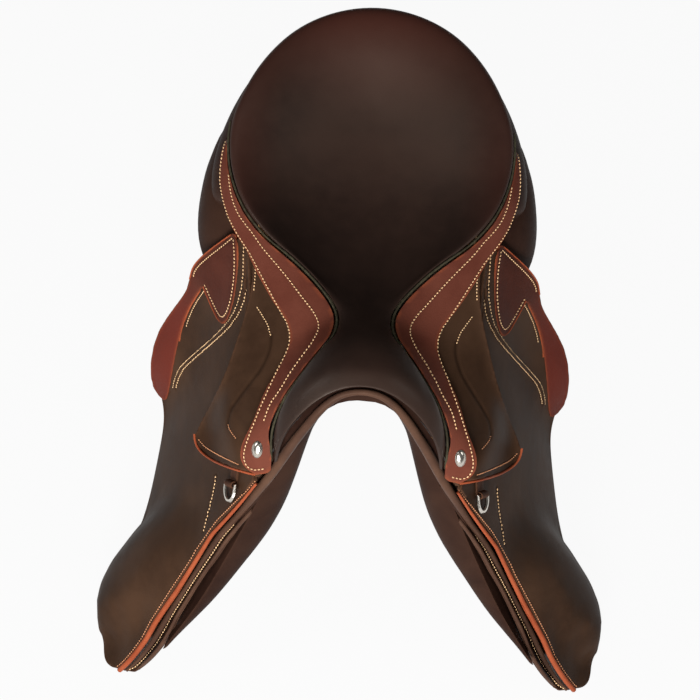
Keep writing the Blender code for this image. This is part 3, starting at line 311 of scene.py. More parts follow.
def dress(finish, *nodes):
    """Gives CAD pieces that show as they are their finish."""
    for node in nodes:
        materials = frame["nodes"][node].data.materials
        materials.clear()
        materials.append(finish)


def mirrored(mesh):
    """A mesh of the -X side, turned over for the +X side."""
    bm = bmesh.new()
    bm.from_mesh(mesh)
    bmesh.ops.transform(bm, matrix=Matrix.Diagonal((-1, 1, 1, 1)), verts=bm.verts)
    bmesh.ops.reverse_faces(bm, faces=bm.faces)
    return mesh_of(bm, mesh.name)


def both(name, mesh, finish, body, nodes=()):
    """A piece of the -X side and its mirror image. Each rides on its own side's body and stands for
    its own side's nodes."""
    for side, sign in SIDES:
        piece = fresh(f"{name}_{side}", mesh if sign < 0 else mirrored(mesh), finish,
                      body if body == "saddle" else f"{body}_{side}")
        if nodes:
            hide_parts(*(f"{node}_{side}" for node in nodes))
        pieces[name, side] = piece


def mesh_of(bm, name):
    mesh = bpy.data.meshes.new(name)
    bm.to_mesh(mesh)
    bm.free()
    return mesh


def with_modifiers(mesh, *steps):
    """The mesh after modifiers, each a type and its settings."""
    obj = put("working", mesh)
    for kind, settings in steps:
        step = obj.modifiers.new(kind.lower(), kind)
        for key, value in settings.items():
            setattr(step, key, value)
    bpy.context.view_layer.update()
    made = bpy.data.meshes.new_from_object(obj.evaluated_get(bpy.context.evaluated_depsgraph_get()))
    bpy.data.objects.remove(obj)
    return made


def whole(node):
    """A CAD node's solid as a mesh of joined four-sided faces."""
    bm = bmesh.new()
    bm.from_mesh(frame["nodes"][node].data)
    bmesh.ops.remove_doubles(bm, verts=bm.verts, dist=1e-6)
    bmesh.ops.join_triangles(bm, faces=bm.faces, angle_face_threshold=SHARP, angle_shape_threshold=math.pi)
    return bm


def sharp_edges(bm, angle):
    return [e for e in bm.edges if len(e.link_faces) == 2 and e.calc_face_angle(0.0) > angle]


def finer(node, levels=2, rim=0.9 * MM, angle=SHARP, fatten=0.0, moves=()):
    """A smoother mesh of a CAD node: its faces are subdivided, its rims kept and then rounded."""
    bm = whole(node)
    for pairs, reach in moves:
        if pairs:
            pull(bm, pairs, reach)
    crease = bm.edges.layers.float.new("crease_edge")
    for edge in sharp_edges(bm, angle):
        edge[crease] = 1.0
    steps = [("SUBSURF", {"levels": levels, "render_levels": levels})]
    if rim:
        steps.append(("BEVEL", {"width": rim, "segments": 2, "limit_method": "ANGLE",
                                "angle_limit": BEVELLED, "use_clamp_overlap": True}))
    mesh = with_modifiers(mesh_of(bm, node), *steps)
    if fatten:
        normals = np.array([v.normal for v in mesh.vertices])
        points = coordinates(mesh) + fatten * normals
        mesh.vertices.foreach_set("co", points.ravel())
    return mesh


def tree_of(points):
    """A tree that finds the nearest of some points."""
    tree = KDTree(len(points))
    for i, point in enumerate(points):
        tree.insert(point, i)
    tree.balance()
    return tree


def pull(bm, pairs, reach):
    """Moves the points of a mesh as pairs of places say: in full at them, and not at all beyond reach."""
    tree = tree_of([start for start, _ in pairs])
    for vert in bm.verts:
        near = tree.find_n(vert.co, 3)
        if near[0][2] >= reach:
            continue
        weights = [1 / (distance**2 + 1e-7) for _, _, distance in near]
        shift = sum((weight * (pairs[i][1] - pairs[i][0]) for weight, (_, i, _) in zip(weights, near)), Vector())
        share = 1 - near[0][2] / reach
        vert.co += shift / sum(weights) * share * share * (3 - 2 * share)


def coordinates(mesh):
    points = np.zeros(len(mesh.vertices) * 3)
    mesh.vertices.foreach_get("co", points)
    return points.reshape(-1, 3)


def note(mesh, name, values):
    """Keeps a number on each point of a mesh, for its finish."""
    found = mesh.attributes.get(name) or mesh.attributes.new(name, "FLOAT", "POINT")
    found.data.foreach_set("value", np.asarray(values, np.float32))


def nearness(mesh, points, reach):
    """How near each point of a mesh is to any of some points: 1 on them, 0 away from them."""
    tree = tree_of(points)
    near = np.array([tree.find(v.co)[2] for v in mesh.vertices])
    return np.exp(-(near / reach)**2)


def rim_of(mesh, reach, apart=()):
    """Marks how near each point is to the piece's own edge, away from any places where it is tucked in."""
    bm = bmesh.new()
    bm.from_mesh(mesh)
    points = [e.verts[0].co.copy() for e in sharp_edges(bm, RIM_TURN)]
    bm.free()
    if apart:
        seams = tree_of(apart)
        points = [p for p in points if seams.find(p)[2] > TUCKED_IN]
    if points:
        note(mesh, "rim", nearness(mesh, points, reach))


def surface(mesh):
    return BVHTree.FromPolygons([v.co for v in mesh.vertices], [p.vertices for p in mesh.polygons])


# lines on the pieces

def evenly(points, pitch, closed=False):
    """Points at an even pitch along a line."""
    points = [Vector(p) for p in points]
    if closed:
        points.append(points[0])
    lengths = np.cumsum([0.0] + [(b - a).length for a, b in zip(points, points[1:])])
    count = max(2, int(round(lengths[-1] / pitch)))
    xyz = np.array(points)
    at = np.linspace(0, lengths[-1], count + 1)
    line = np.stack([np.interp(at, lengths, xyz[:, i]) for i in range(3)], axis=1)
    return [Vector(p) for p in (line[:-1] if closed else line)]


def eased(points, rounds=2, closed=False):
    """A line with its corners eased."""
    line = np.array([list(p) for p in points])
    for _ in range(rounds):
        if closed:
            line = 0.25 * np.roll(line, 1, 0) + 0.5 * line + 0.25 * np.roll(line, -1, 0)
        else:
            line[1:-1] = 0.25 * line[:-2] + 0.5 * line[1:-1] + 0.25 * line[2:]
    return [Vector(p) for p in line]


def in_picture(points):
    """Column, row and distance of places, as the camera sees them."""
    inverse = np.array(VIEW.inverted())
    local = np.array([list(p) for p in points]) @ inverse[:3, :3].T + inverse[:3, 3]
    return np.stack([PICTURE / 2 + FOCAL * local[:, 0] / -local[:, 2],
                     PICTURE / 2 - FOCAL * local[:, 1] / -local[:, 2], -local[:, 2]], axis=1)


def toward(column, row):
    """The direction in which the camera sees a pixel."""
    return (VIEW.to_3x3() @ Vector((column - PICTURE / 2, PICTURE / 2 - row, -FOCAL))).normalized()


def reached(column, row, reach):
    """The place that the camera sees at a pixel, that far from the camera itself."""
    return VIEW.translation + reach * toward(column, row)


def placed(column, row, distance):
    """The place that the camera sees at a pixel and a distance."""
    return VIEW @ Vector(((column - PICTURE / 2) * distance / FOCAL, (PICTURE / 2 - row) * distance / FOCAL,
                          -distance))


def struck(column, row, tree):
    """Where the camera's ray through a pixel meets a surface."""
    return tree.ray_cast(VIEW.translation, toward(column, row))[0]


def depth_at(column, row, tree):
    """The distance at which the camera sees a surface at a pixel, or nothing where it misses it."""
    hit = struck(column, row, tree)
    return float(in_picture([hit])[0, 2]) if hit else None


def dense(pixels, pitch=2.0, closed=False):
    """A picture line with a point at every pitch pixels, its corners eased."""
    flat = evenly([(x, y, 0) for x, y in pixels], pitch, closed)
    return [(p.x, p.y) for p in eased(flat, 2, closed)]


def seen(pixels, tree):
    """Places on a surface that the photograph shows along a line of pixels."""
    found = [struck(x, y, tree) for x, y in dense(pixels)]
    return eased([p for p in found if p], 2)


def beside(pixels, points, deeper=0.0):
    """Places along a line of pixels, as far away as the nearest of some points."""
    spots, line = in_picture(points), dense(pixels)
    away = []
    for x, y in line:
        gap = (spots[:, 0] - x)**2 + (spots[:, 1] - y)**2
        away.append(spots[np.argsort(gap)[:3], 2].mean())
    for _ in range(12):
        away = np.convolve(np.pad(away, 1, mode="edge"), (0.25, 0.5, 0.25), mode="valid")
    return eased([placed(x, y, float(d) + deeper) for (x, y), d in zip(line, away)], 4)


def riding(pixels, tree, ahead):
    """Places along a line of pixels, a little in front of a surface whose bumps and ends are evened out."""
    line = dense(pixels)
    hits = [(i, depth) for i, depth in enumerate(depth_at(x, y, tree) for x, y in line) if depth]
    fit = np.polynomial.Polynomial.fit(*zip(*hits), 4)
    first, last = hits[0][0], hits[-1][0]
    away = [float(fit(min(max(i, first), last))) - ahead for i in range(len(line))]
    return eased([placed(x, y, d) for (x, y), d in zip(line, away)], 6)


def between(first, second, share):
    """The picture line a share of the way from one picture line to another."""
    first, second = ([Vector((x, y, 0)) for x, y in line] for line in (first, second))
    first, second = (evenly(line, length_of(line) / 80) for line in (first, second))
    return [tuple(a.lerp(b, share).xy) for a, b in zip(first, second)]


def nearest_on(line, x, y):
    """The place on a picture line that is nearest to a pixel."""
    spot, best = Vector((x, y)), None
    for a, b in zip(line, line[1:]):
        a, b = Vector(a), Vector(b)
        share = min(1.0, max(0.0, (spot - a).dot(b - a) / (b - a).length_squared))
        found = a.lerp(b, share)
        if best is None or (found - spot).length < (best - spot).length:
            best = found
    return best


def spine(node, pitch=7.0):
    """The middle of a long thin CAD node, from the top of the picture down."""
    points = [v.co.copy() for v in frame["nodes"][node].data.vertices]
    rows = in_picture(points)[:, 1]
    found = []
    for row in np.arange(max(0, rows.min()), min(PICTURE, rows.max()), pitch):
        near = [p for p, r in zip(points, rows) if abs(r - row) < pitch * 0.6]
        if near:
            found.append(sum(near, Vector()) / len(near))
    return found


def towards(points, line, tree=None):
    """Pairs that move points to the nearest place on a picture line, on a surface or at their own distance."""
    pairs = []
    for point, (x, y, distance) in zip(points, in_picture(points)):
        spot = nearest_on(line, x, y)
        goal = (struck(*spot, tree) if tree else None) or placed(*spot, distance)
        pairs.append((point, goal))
    return pairs


def pinned(node, moves):
    """Pairs that move a CAD node's points nearest to some pixels to other pixels."""
    points = [v.co.copy() for v in frame["nodes"][node].data.vertices]
    spots = in_picture(points)
    pairs = []
    for (x, y), (to_x, to_y) in moves:
        near = int(np.argmin((spots[:, 0] - x)**2 + (spots[:, 1] - y)**2))
        pairs.append((points[near], placed(spots[near, 0] + to_x - x, spots[near, 1] + to_y - y, spots[near, 2])))
    return pairs


def held_back(node, line, side=1):
    """Pairs that move a CAD node's points that stand past a picture line onto it. Side is 1 where that is
    to the line's right, and -1 where it is to its left."""
    line_rows, line_columns = (np.array(numbers) for numbers in ([y for _, y in line], [x for x, _ in line]))
    order = np.argsort(line_rows)
    line_rows, line_columns = line_rows[order], line_columns[order]
    points = samples(node)
    past = [p for p, (x, y, _) in zip(points, in_picture(points))
            if line_rows[0] < y < line_rows[-1] and side * x > side * np.interp(y, line_rows, line_columns)]
    return towards(past, line) if past else []


def opposite(pairs):
    """Pairs of the -X side, for the +X side."""
    return [(Vector((-a.x, a.y, a.z)), Vector((-b.x, b.y, b.z))) for a, b in pairs]


def samples(*nodes):
    return [v.co.copy() for node in nodes for v in frame["nodes"][node].data.vertices]


def nodes_surface(*nodes):
    points, faces = [], []
    for node in nodes:
        mesh = frame["nodes"][node].data
        faces += [[i + len(points) for i in p.vertices] for p in mesh.polygons]
        points += [v.co.copy() for v in mesh.vertices]
    return BVHTree.FromPolygons(points, faces)


# sheets and bands laid by the photograph

def within(outline, x, y):
    """Whether a pixel lies inside a closed picture line."""
    found = False
    for (ax, ay), (bx, by) in zip(outline, outline[1:] + outline[:1]):
        if (ay > y) != (by > y) and x < (bx - ax) * (y - ay) / (by - ay) + ax:
            found = not found
    return found


def even_depth(points, depths, order=5):
    """A smooth surface through depths at pixels: the depth that it gives at any pixel."""
    points, depths = np.array(points), np.array(depths)
    middle, half = points.mean(axis=0), np.ptp(points, axis=0).max() / 2

    def terms(spots):
        u, v = ((np.atleast_2d(spots) - middle) / half).T
        return np.stack([u**i * v**j for i in range(order + 1) for j in range(order + 1 - i)], axis=1)

    kept = np.ones(len(depths), bool)
    for _ in range(3):
        factors = np.linalg.lstsq(terms(points[kept]), depths[kept], rcond=None)[0]
        error = np.abs(terms(points) @ factors - depths)
        kept = error < max(1 * MM, 2.5 * float(np.median(error)))
    return lambda spots: terms(spots) @ factors


def drawn_grid(outline, cell):
    """A flat grid of faces on the picture, cut to a closed picture line, and the points on its border."""
    line = dense(outline, OUTLINE_PITCH, closed=True)
    low, high = np.min(line, axis=0), np.max(line, axis=0)
    across, down = (int(n) + 2 for n in (high - low) / cell)
    grid_size = Matrix.Diagonal((across * cell, down * cell, 1, 1))
    bm = bmesh.new()
    bmesh.ops.create_grid(bm, x_segments=across, y_segments=down, size=0.5,
                          matrix=Matrix.Translation((*(low + high) / 2, 0)) @ grid_size)
    bmesh.ops.delete(bm, geom=[f for f in bm.faces if not within(line, *f.calc_center_median().xy)],
                     context="FACES")
    border = [v for v in bm.verts if v.is_boundary]
    ring = line + line[:1]
    for _ in range(SNAP_ROUNDS):
        goals = []
        for vert in border:
            near = [e.other_vert(vert).co for e in vert.link_edges if e.is_boundary]
            spot = (vert.co * 2 + sum(near, Vector())) / (2 + len(near))
            goals.append((*nearest_on(ring, *spot.xy), 0))
        for vert, goal in zip(border, goals):
            vert.co = goal
        bmesh.ops.smooth_vert(bm, verts=[v for v in bm.verts if not v.is_boundary], factor=0.5,
                              use_axis_x=True, use_axis_y=True)
    return bm, border


def filled(bm, depth):
    """The depths of a grid's points, with each one that has none taken from its neighbours."""
    depth = dict(depth)
    while len(depth) < len(bm.verts):
        edge = [v for v in bm.verts if v not in depth and any(e.other_vert(v) in depth for e in v.link_edges)]
        near = [[depth[e.other_vert(v)] for e in v.link_edges if e.other_vert(v) in depth] for v in edge]
        if not edge:
            break
        depth.update((v, sum(d) / len(d)) for v, d in zip(edge, near))
    return depth


def face_camera(bm):
    """Turns a sheet's faces to the camera's side."""
    bm.normal_update()
    if sum(f.normal.dot(VIEW.translation - f.calc_center_median()) for f in bm.faces) < 0:
        bmesh.ops.reverse_faces(bm, faces=bm.faces)
        bm.normal_update()


def draped(name, outline, tree, thickness, lift, cell=1.8, reach=1.4 * MM, over=False, under=None, above=None):
    """A sheet whose outline is drawn on the photograph, lying evenly on a surface. Over keeps it above each
    bump, under keeps it behind another piece, and above keeps it in front of one."""
    bm, border = drawn_grid(outline, cell)
    hits = {v: depth_at(v.co.x, v.co.y, tree) for v in bm.verts}
    hits = {v: hit for v, hit in hits.items() if hit}
    if over:
        fit = even_depth([(v.co.x, v.co.y) for v in hits], list(hits.values()))
        depth = dict(zip(bm.verts, fit([(v.co.x, v.co.y) for v in bm.verts])))
        for vert, hit in hits.items():
            depth[vert] = min(depth[vert], max(hit, depth[vert] - BUMP))
    else:
        depth = filled(bm, hits)
    for _ in range(3 if over else 14):
        depth = {v: (depth[v] + sum(depth[e.other_vert(v)] for e in v.link_edges)) / (1 + len(v.link_edges))
                 for v in bm.verts}
    for vert in bm.verts:
        front = above and depth_at(vert.co.x, vert.co.y, above)
        if front:
            depth[vert] = min(depth[vert], front - IN_FRONT)
        back = under and depth_at(vert.co.x, vert.co.y, under)
        if back:
            depth[vert] = max(depth[vert], back + lift + BEHIND)
    for vert in bm.verts:
        vert.co = placed(vert.co.x, vert.co.y, float(depth[vert]))
    face_camera(bm)
    for vert, normal in [(v, v.normal.copy()) for v in bm.verts]:
        vert.co += normal * lift
    border = [v.co.copy() for v in border]
    mesh = with_modifiers(mesh_of(bm, name),
                          ("SOLIDIFY", {"thickness": thickness, "offset": -1, "edge_crease_inner": 0.6,
                                        "edge_crease_outer": 0.6, "edge_crease_rim": 0.2}),
                          ("SUBSURF", {"levels": 1, "render_levels": 1}))
    mesh.name = name
    note(mesh, "rim", nearness(mesh, border, reach))
    return mesh


def band(name, left, right, profile, thickness=2.0 * MM):
    """A band between two lines, raised across its width by a profile of (share, height) steps."""
    columns = len(profile)
    left, right = (evenly(line, length_of(line) / BAND_ROWS) for line in (left, right))
    ups = []
    for along in range(min(len(left), len(right))):
        ahead = left[min(along + 1, len(left) - 1)] - left[max(along - 1, 0)]
        up = (right[along] - left[along]).cross(ahead).normalized()
        ups.append(up if up.dot(VIEW.translation - left[along]) > 0 else -up)
    ups = eased(ups, 20)
    bm = bmesh.new()
    bmesh.ops.create_grid(bm, x_segments=columns - 1, y_segments=BAND_ROWS, size=0.5)
    for vert in bm.verts:
        across, along = round((vert.co.x + 0.5) * (columns - 1)), round((vert.co.y + 0.5) * BAND_ROWS)
        along = min(along, len(ups) - 1)
        share, height = profile[across]
        vert.co = left[along].lerp(right[along], share) + ups[along] * height
    face_camera(bm)
    mesh = with_modifiers(mesh_of(bm, name), ("SOLIDIFY", {"thickness": thickness, "offset": -1}),
                          ("SUBSURF", {"levels": 2, "render_levels": 2}))
    mesh.name = name
    return mesh


def length_of(line):
    return sum((b - a).length for a, b in zip(line, line[1:]))


def emboss(mesh, line, width, depth, mark=0.0):
    """Presses a groove, or raises a ridge where depth is above 0, along a line on one side of a piece, and keeps
    on its points how much painted shade the finish puts in the groove: mark at its middle.
    """
    line = evenly(line, width * 0.3)
    tree = tree_of(line)
    face = surface(mesh)
    ups = [face.find_nearest(p)[1] for p in line]
    # how much painted shade each point gets, as its groove's darkness
    press = np.zeros(len(mesh.vertices))
    had = mesh.attributes.get("press")
    if had:
        had.data.foreach_get("value", press)
    for vert in mesh.vertices:
        _, i, distance = tree.find(vert.co)
        if distance > 2.6 * width or vert.normal.dot(ups[i]) < 0.3:
            continue
        share = math.exp(-(distance / width)**2)
        vert.co += ups[i] * depth * share
        press[vert.index] = max(press[vert.index], mark * share)
    note(mesh, "press", press)


def embossed(mesh, tree, *lines):
    """Presses lines of the photograph into a piece: each with its width and height in millimetres, and how dark
    the painted shade in its groove is."""
    for line, width, height, mark in lines:
        emboss(mesh, seen(line, tree), width * MM, height * MM, mark)


# thread

def thread_row(name, line, tree, pitch=3.8, long=2.7, radius=0.7, lift=0.35):
    """A row of stitches along a line on a surface, all four measures in millimetres."""
    pitch, long, radius, lift = (size * MM for size in (pitch, long, radius, lift))
    bm = bmesh.new()
    points = evenly(line, pitch)
    for a, b in zip(points, points[1:]):
        place, normal = tree.find_nearest((a + b) / 2)[:2]
        along = (b - a).normalized()
        side = normal.cross(along).normalized()
        up = along.cross(side)
        turn = Matrix((along, side, up)).transposed().to_4x4()
        size = Matrix.Diagonal((long / 2, radius, radius, 1))
        bmesh.ops.create_uvsphere(bm, u_segments=6, v_segments=4, radius=1.0,
                                  matrix=Matrix.Translation(place + up * lift) @ turn
                                  @ Matrix.Rotation(0.10, 4, "Z") @ size @ Matrix.Rotation(math.pi / 2, 4, "Y"))
    return mesh_of(bm, name)


def cordlet(name, line, radius, sides=2):
    """A round piping along a line. Its radius may vary along it."""
    curve = bpy.data.curves.new(name, "CURVE")
    curve.dimensions, curve.bevel_depth, curve.bevel_resolution = "3D", 1.0, sides
    curve.use_fill_caps = True
    spline = curve.splines.new("POLY")
    spline.points.add(len(line) - 1)
    for i, (point, place) in enumerate(zip(spline.points, line)):
        point.co = (*place, 1.0)
        share = i / (len(line) - 1)
        point.radius = radius(share) if callable(radius) else radius
    obj = put("working", curve)
    bpy.context.view_layer.update()
    mesh = bpy.data.meshes.new_from_object(obj.evaluated_get(bpy.context.evaluated_depsgraph_get()))
    bpy.data.objects.remove(obj)
    mesh.name = name
    return mesh


# finishes

seat_leather = leather("seat_leather", SEAT_DARK, SEAT_LIGHT, SEAT_LIGHT, rough=0.5, grain=900,
                       grain_depth=0.00006, mottle=7, coat=0.06, specular=0.34, warm=SEAT_WARM)
flap_leather = leather("flap_leather", DARK, DARK_LIGHT, EDGE_BROWN, rough=0.46, grain=620, grain_depth=0.0001)
skirt_leather = leather("skirt_leather", DARK, DARK_LIGHT, EDGE_BROWN, rough=0.48, grain=700, grain_depth=0.0001)
panel_leather = leather("panel_leather", PANEL, PANEL_LIGHT, PANEL_LIGHT, rough=0.5, grain=760,
                        grain_depth=0.00009, mottle=11)
roll_leather = leather("roll_leather", srgb(66, 46, 37), srgb(84, 60, 47), EDGE_BROWN, rough=0.40, grain=760,
                       grain_depth=0.00008, mottle=12, specular=0.06)
facing_leather = leather("facing_leather", BURGUNDY, BURGUNDY_LIGHT, EDGE_ORANGE, rough=0.44, grain=560,
                         grain_depth=0.00012, mottle=13, worn=0.25)
patch_leather = leather("patch_leather", PATCH, PATCH_LIGHT, EDGE_ORANGE, rough=0.48, grain=420,
                        grain_depth=0.00018, mottle=16, warm=RED, worn=0.3)
strap_leather = leather("strap_leather", srgb(60, 38, 28), srgb(80, 52, 38), EDGE_BROWN, rough=0.5, grain=520)
piping_orange = leather("piping_orange", ORANGE, srgb(152, 78, 50), srgb(168, 94, 64), rough=0.45,
                        grain=900, grain_depth=0.00006, mottle=30)
piping_green = leather("piping_green", srgb(30, 29, 22), srgb(46, 43, 33), srgb(70, 66, 52), rough=0.42,
                       grain=900, grain_depth=0.00006, mottle=30)


def make_thread(name, colour, dark):
    s = Shading(name)
    twist = s.cloud(1500, 2, 0.6)
    body = s.mix(twist.step(0.3, 0.7), dark, colour)
    s.bump(twist, 0.00008)
    return s.finish(Base_Color=body, Roughness=0.7 + 0.1 * twist, Sheen_Weight=0.2)


cream_thread = make_thread("cream_thread", CREAM, srgb(206, 158, 108))
tan_thread = make_thread("tan_thread", srgb(204, 140, 92), srgb(160, 98, 60))


def make_webbing(name, light, dark, scale=1150):
    """Woven linen web: warp and weft as crossed ribs."""
    s = Shading(name)
    parts = s.add("ShaderNodeSeparateXYZ", {}, {0: s.place})
    x, y = Value(s, parts.outputs[0]), Value(s, parts.outputs[1])
    ribs = (x * scale).sine() * (y * scale).sine()
    body = s.mix((ribs * 0.5 + 0.5).step(0.2, 0.8), dark, light)
    body = s.mix(s.cloud(25, 3).step(0.4, 0.7) * 0.5, body, dark)
    s.bump(ribs + 0.4 * s.cloud(900, 2), 0.0003)
    return s.finish(Base_Color=body, Roughness=0.9 + 0.05 * ribs)


webbing = make_webbing("linen_web", srgb(205, 188, 150), srgb(160, 140, 104))


def make_foam(name, colour, dark):
    s = Shading(name)
    pores = s.cells(420, "F1")
    body = s.mix(pores.step(0.1, 0.6), dark, colour)
    body = s.mix(s.cloud(12, 3).step(0.3, 0.7) * 0.4, body, dark)
    s.bump(pores, 0.0005)
    return s.finish(Base_Color=body, Roughness=0.85 + 0.1 * s.cloud(40, 2))


latex_foam = make_foam("latex_foam", srgb(112, 94, 72), srgb(78, 64, 48))


def make_metal(name, colour, dark, rough, tarnish=0.35):
    s = Shading(name)
    haze = s.cloud(90, 4, 0.6)
    scratch = s.cloud(300, 4, 0.7, s.stretched((1, 9, 1), (0.3, 0.9, 0.2)))
    body = s.mix(haze.step(0.45, 0.75) * tarnish, colour, dark)
    s.bump(scratch, 0.00004, 0.6)
    roughness = rough + 0.18 * (haze - 0.5) + 0.1 * scratch
    return s.finish(Base_Color=body, Metallic=1.0, Roughness=roughness.clipped())


silver = make_metal("silver_plate", srgb(206, 200, 190), srgb(120, 108, 92), 0.2)
steel = make_metal("forged_steel", srgb(150, 150, 152), srgb(92, 84, 78), 0.34)
stainless = make_metal("stainless_bar", srgb(190, 190, 190), srgb(140, 136, 130), 0.24)


def make_beech(name):
    """Laminated beech: thin plies that show on the edges, a faint figure on the faces."""
    s = Shading(name)
    figure = s.cloud(35, 5, 0.6, s.stretched((6, 1, 6)))
    plies = (Value(s, s.add("ShaderNodeSeparateXYZ", {}, {0: s.place}).outputs[2]) * 3600 + figure * 6).sine()
    body = s.mix(figure.step(0.3, 0.7), srgb(206, 164, 110), srgb(172, 124, 76))
    body = s.mix(plies.step(0.2, 0.9) * 0.25, body, srgb(120, 80, 46))
    s.bump(figure + plies * 0.2, 0.0002)
    return s.finish(Base_Color=body, Roughness=0.5 + 0.2 * figure, Coat_Weight=0.2)


beech = make_beech("laminated_beech")


# lines that the photograph shows on its left half, in pixels: the -X side of the saddle

SEAT_EDGE = [(243.9, 90), (238.1, 100), (232.9, 111), (229.5, 122), (227.8, 132), (227.2, 143), (227.4, 153),
             (228.4, 163), (229.5, 174), (232.4, 184), (236.4, 193), (241.6, 205), (248.5, 216), (255.3, 225),
             (270, 240), (294.3, 259), (310.4, 275), (326.4, 293), (335.4, 307), (339.8, 320), (337.1, 332),
             (326.4, 345), (313.9, 359), (301.4, 374), (290.7, 388), (281.8, 404), (274.6, 420), (271.1, 436),
             (271.1, 452), (272, 463)]
FACING_MOVES = [((240, 240), (237, 240)), ((255, 264), (251, 264)), ((269, 288), (264, 288)),
                ((282, 312), (277, 312)), ((291, 336), (288.3, 335)), ((282, 360), (278.5, 360)),
                ((271, 384), (267, 384)), ((259, 408), (256, 408)), ((248, 432), (246, 432)),
                ((242, 456), (239.5, 456)), ((247, 463), (243.5, 467)), ((256, 472), (256, 474)),
                ((262, 464), (267, 470)), ((266, 455), (271, 458))]
FACING_INNER = [(228.5, 174), (229.6, 185), (231.6, 196), (234.2, 205), (238.8, 215), (244.5, 223), (252, 232),
                (259, 243), (266.4, 252.5), (273.8, 261), (287.8, 278), (302.7, 298), (312.7, 310.4),
                (318.5, 321), (319, 329.5), (312.7, 342), (301, 357.6), (289.5, 374), (279.5, 391), (271.2, 402),
                (266.2, 414), (263.7, 421.5)]
FACING_OUTER = [(226.5, 139), (223.9, 147), (222.2, 155.5), (221, 163.5), (220.1, 173), (220.2, 182), (221, 191),
                (222.7, 200), (225, 208), (228.5, 217.5), (233, 226), (238, 235), (244, 244.4), (249.7, 253),
                (255, 263), (264, 280.7), (274.6, 300.4), (285.4, 320), (290.8, 334), (288, 348.6), (280, 364.6),
                (271, 384), (262, 404), (253.2, 425.4), (247, 441.4), (243.4, 454), (244.6, 463), (248.5, 468.5),
                (255, 470.3), (264.5, 468.5)]
SKIRT_OUTLINE = [(253, 250), (252.5, 262), (252.5, 275), (251, 291), (246.5, 310), (241, 328), (234, 349),
                 (227, 369), (219, 387), (211, 403), (203, 418), (197.5, 430), (194.8, 437), (195.5, 443),
                 (199, 449), (206, 455), (214, 460), (225, 464.5), (237, 468.5), (248, 471.5), (256, 471.5),
                 (261, 464), (262, 440), (268, 420), (276, 400), (286, 378), (297, 358), (303, 340), (298, 322),
                 (288, 304), (277, 286), (266, 268), (258, 256)]
SKIRT_FOOT = [(194.4, 434), (194.6, 441), (198.5, 449.5), (206, 456.3), (214, 461.3), (225, 466), (237, 470),
              (248, 473), (257, 475)]
SKIRT_FOOT_ROW = [(198.2, 439), (205, 447), (216, 453.5), (227, 459), (239, 464.6)]
SKIRT_TOP_ROW = [(255.6, 268), (255, 280), (253.8, 291)]
POCKET_TOP_ROW = [(256.8, 306.6), (263, 316.4), (268.4, 325.4), (270.7, 336)]
POCKET_GROOVE = [(271, 334), (270.8, 343), (268.6, 352), (262, 366.4), (251.4, 380.7), (239, 396.8),
                 (230.4, 409.3), (227.5, 421.8), (228, 427)]
POCKET_FOOT_ROW = [(228, 424), (230.5, 431), (236.5, 438.5)]
PATCH_OUTLINE = [(235.8, 232.5), (228, 237), (220, 243), (211, 249.5), (203, 256), (197, 262), (192.6, 268),
                 (190.6, 275), (189.6, 283), (187, 290), (182, 298), (176, 306), (168, 317), (160, 330),
                 (154.5, 345), (151.4, 362), (151.4, 375), (154, 387), (160, 396), (166, 401), (168.4, 395),
                 (170.5, 385), (173, 370), (176.5, 352), (180.5, 334), (184.5, 320), (190, 307), (196, 297),
                 (203.2, 286.5), (206, 294), (209.5, 302), (213.5, 311), (218, 320), (222.9, 324.5), (227.5, 321),
                 (231, 313), (234, 302), (236, 291), (237.7, 276), (238.3, 262), (237.8, 248), (237, 238)]
PATCH_EDGE = [(189.6, 279), (192.2, 268), (197, 261.6), (203, 255.6), (211, 249), (220, 242.5), (228, 236.5),
              (235, 232.2), (237, 238), (237.8, 248), (238.3, 262), (237.7, 276), (236, 291), (234, 302),
              (231, 313), (227.5, 321), (222.9, 324.7), (218, 320), (213.5, 311), (209.5, 302), (206, 294),
              (203.2, 286.5)]
REAR_EDGE = [(203.2, 286.5), (196, 297), (190, 307), (184.8, 320), (181.5, 332), (179.5, 341)]
PATCH_ROW = [(193.4, 277), (194.5, 271.5), (198.6, 266), (205, 260), (213, 253.5), (221.6, 247), (229, 241),
             (232.6, 238)]
PATCH_TONGUE_ROW = [(233.4, 239), (234.4, 250), (234.7, 264), (234, 278), (232.4, 291), (230.2, 302),
                    (227, 312), (222.8, 318.6), (219.6, 316), (215.5, 308), (211.4, 299.5), (207.6, 291),
                    (204.4, 284)]
REAR_ROW = [(204.6, 290.5), (198.8, 298.5), (193.4, 308), (188.6, 319), (186.4, 327)]
SEAM_OUTER = [(243.8, 246), (243.6, 258), (243.5, 270), (242.2, 286), (238, 303), (233, 314.5), (224.8, 326),
              (213.2, 337.7), (199.9, 349.4), (188.3, 359.3), (180, 367.6), (176, 375), (173, 388)]
SEAM_WELT = [(246.6, 256), (246.4, 270), (244.6, 287), (241, 303), (235.6, 314.5), (227.4, 326), (216.4, 337.4),
             (204, 348.2), (191.6, 358.6), (182.4, 367.2), (177.6, 375.5), (174.4, 388)]
SEAM_INNER = [(249.2, 262), (248.8, 275), (246.6, 290), (243.8, 303), (238.2, 315), (230, 326.5), (219.8, 336.5),
              (208.2, 346.6), (195, 358), (185, 367), (179.5, 375.5), (176, 388)]
FLAP_EDGE = [(268.5, 473), (266, 475.3), (254.5, 485.2), (240.8, 502.8), (227.8, 517.3), (219.3, 525),
             (210.9, 535.7), (203.3, 548), (195.6, 561.7), (186.4, 575.5), (177.2, 590.8), (166.5, 606.1),
             (155.8, 621.4), (148.9, 635.2), (140.5, 647.5), (128.3, 662), (119, 670.5), (110.5, 671.5)]
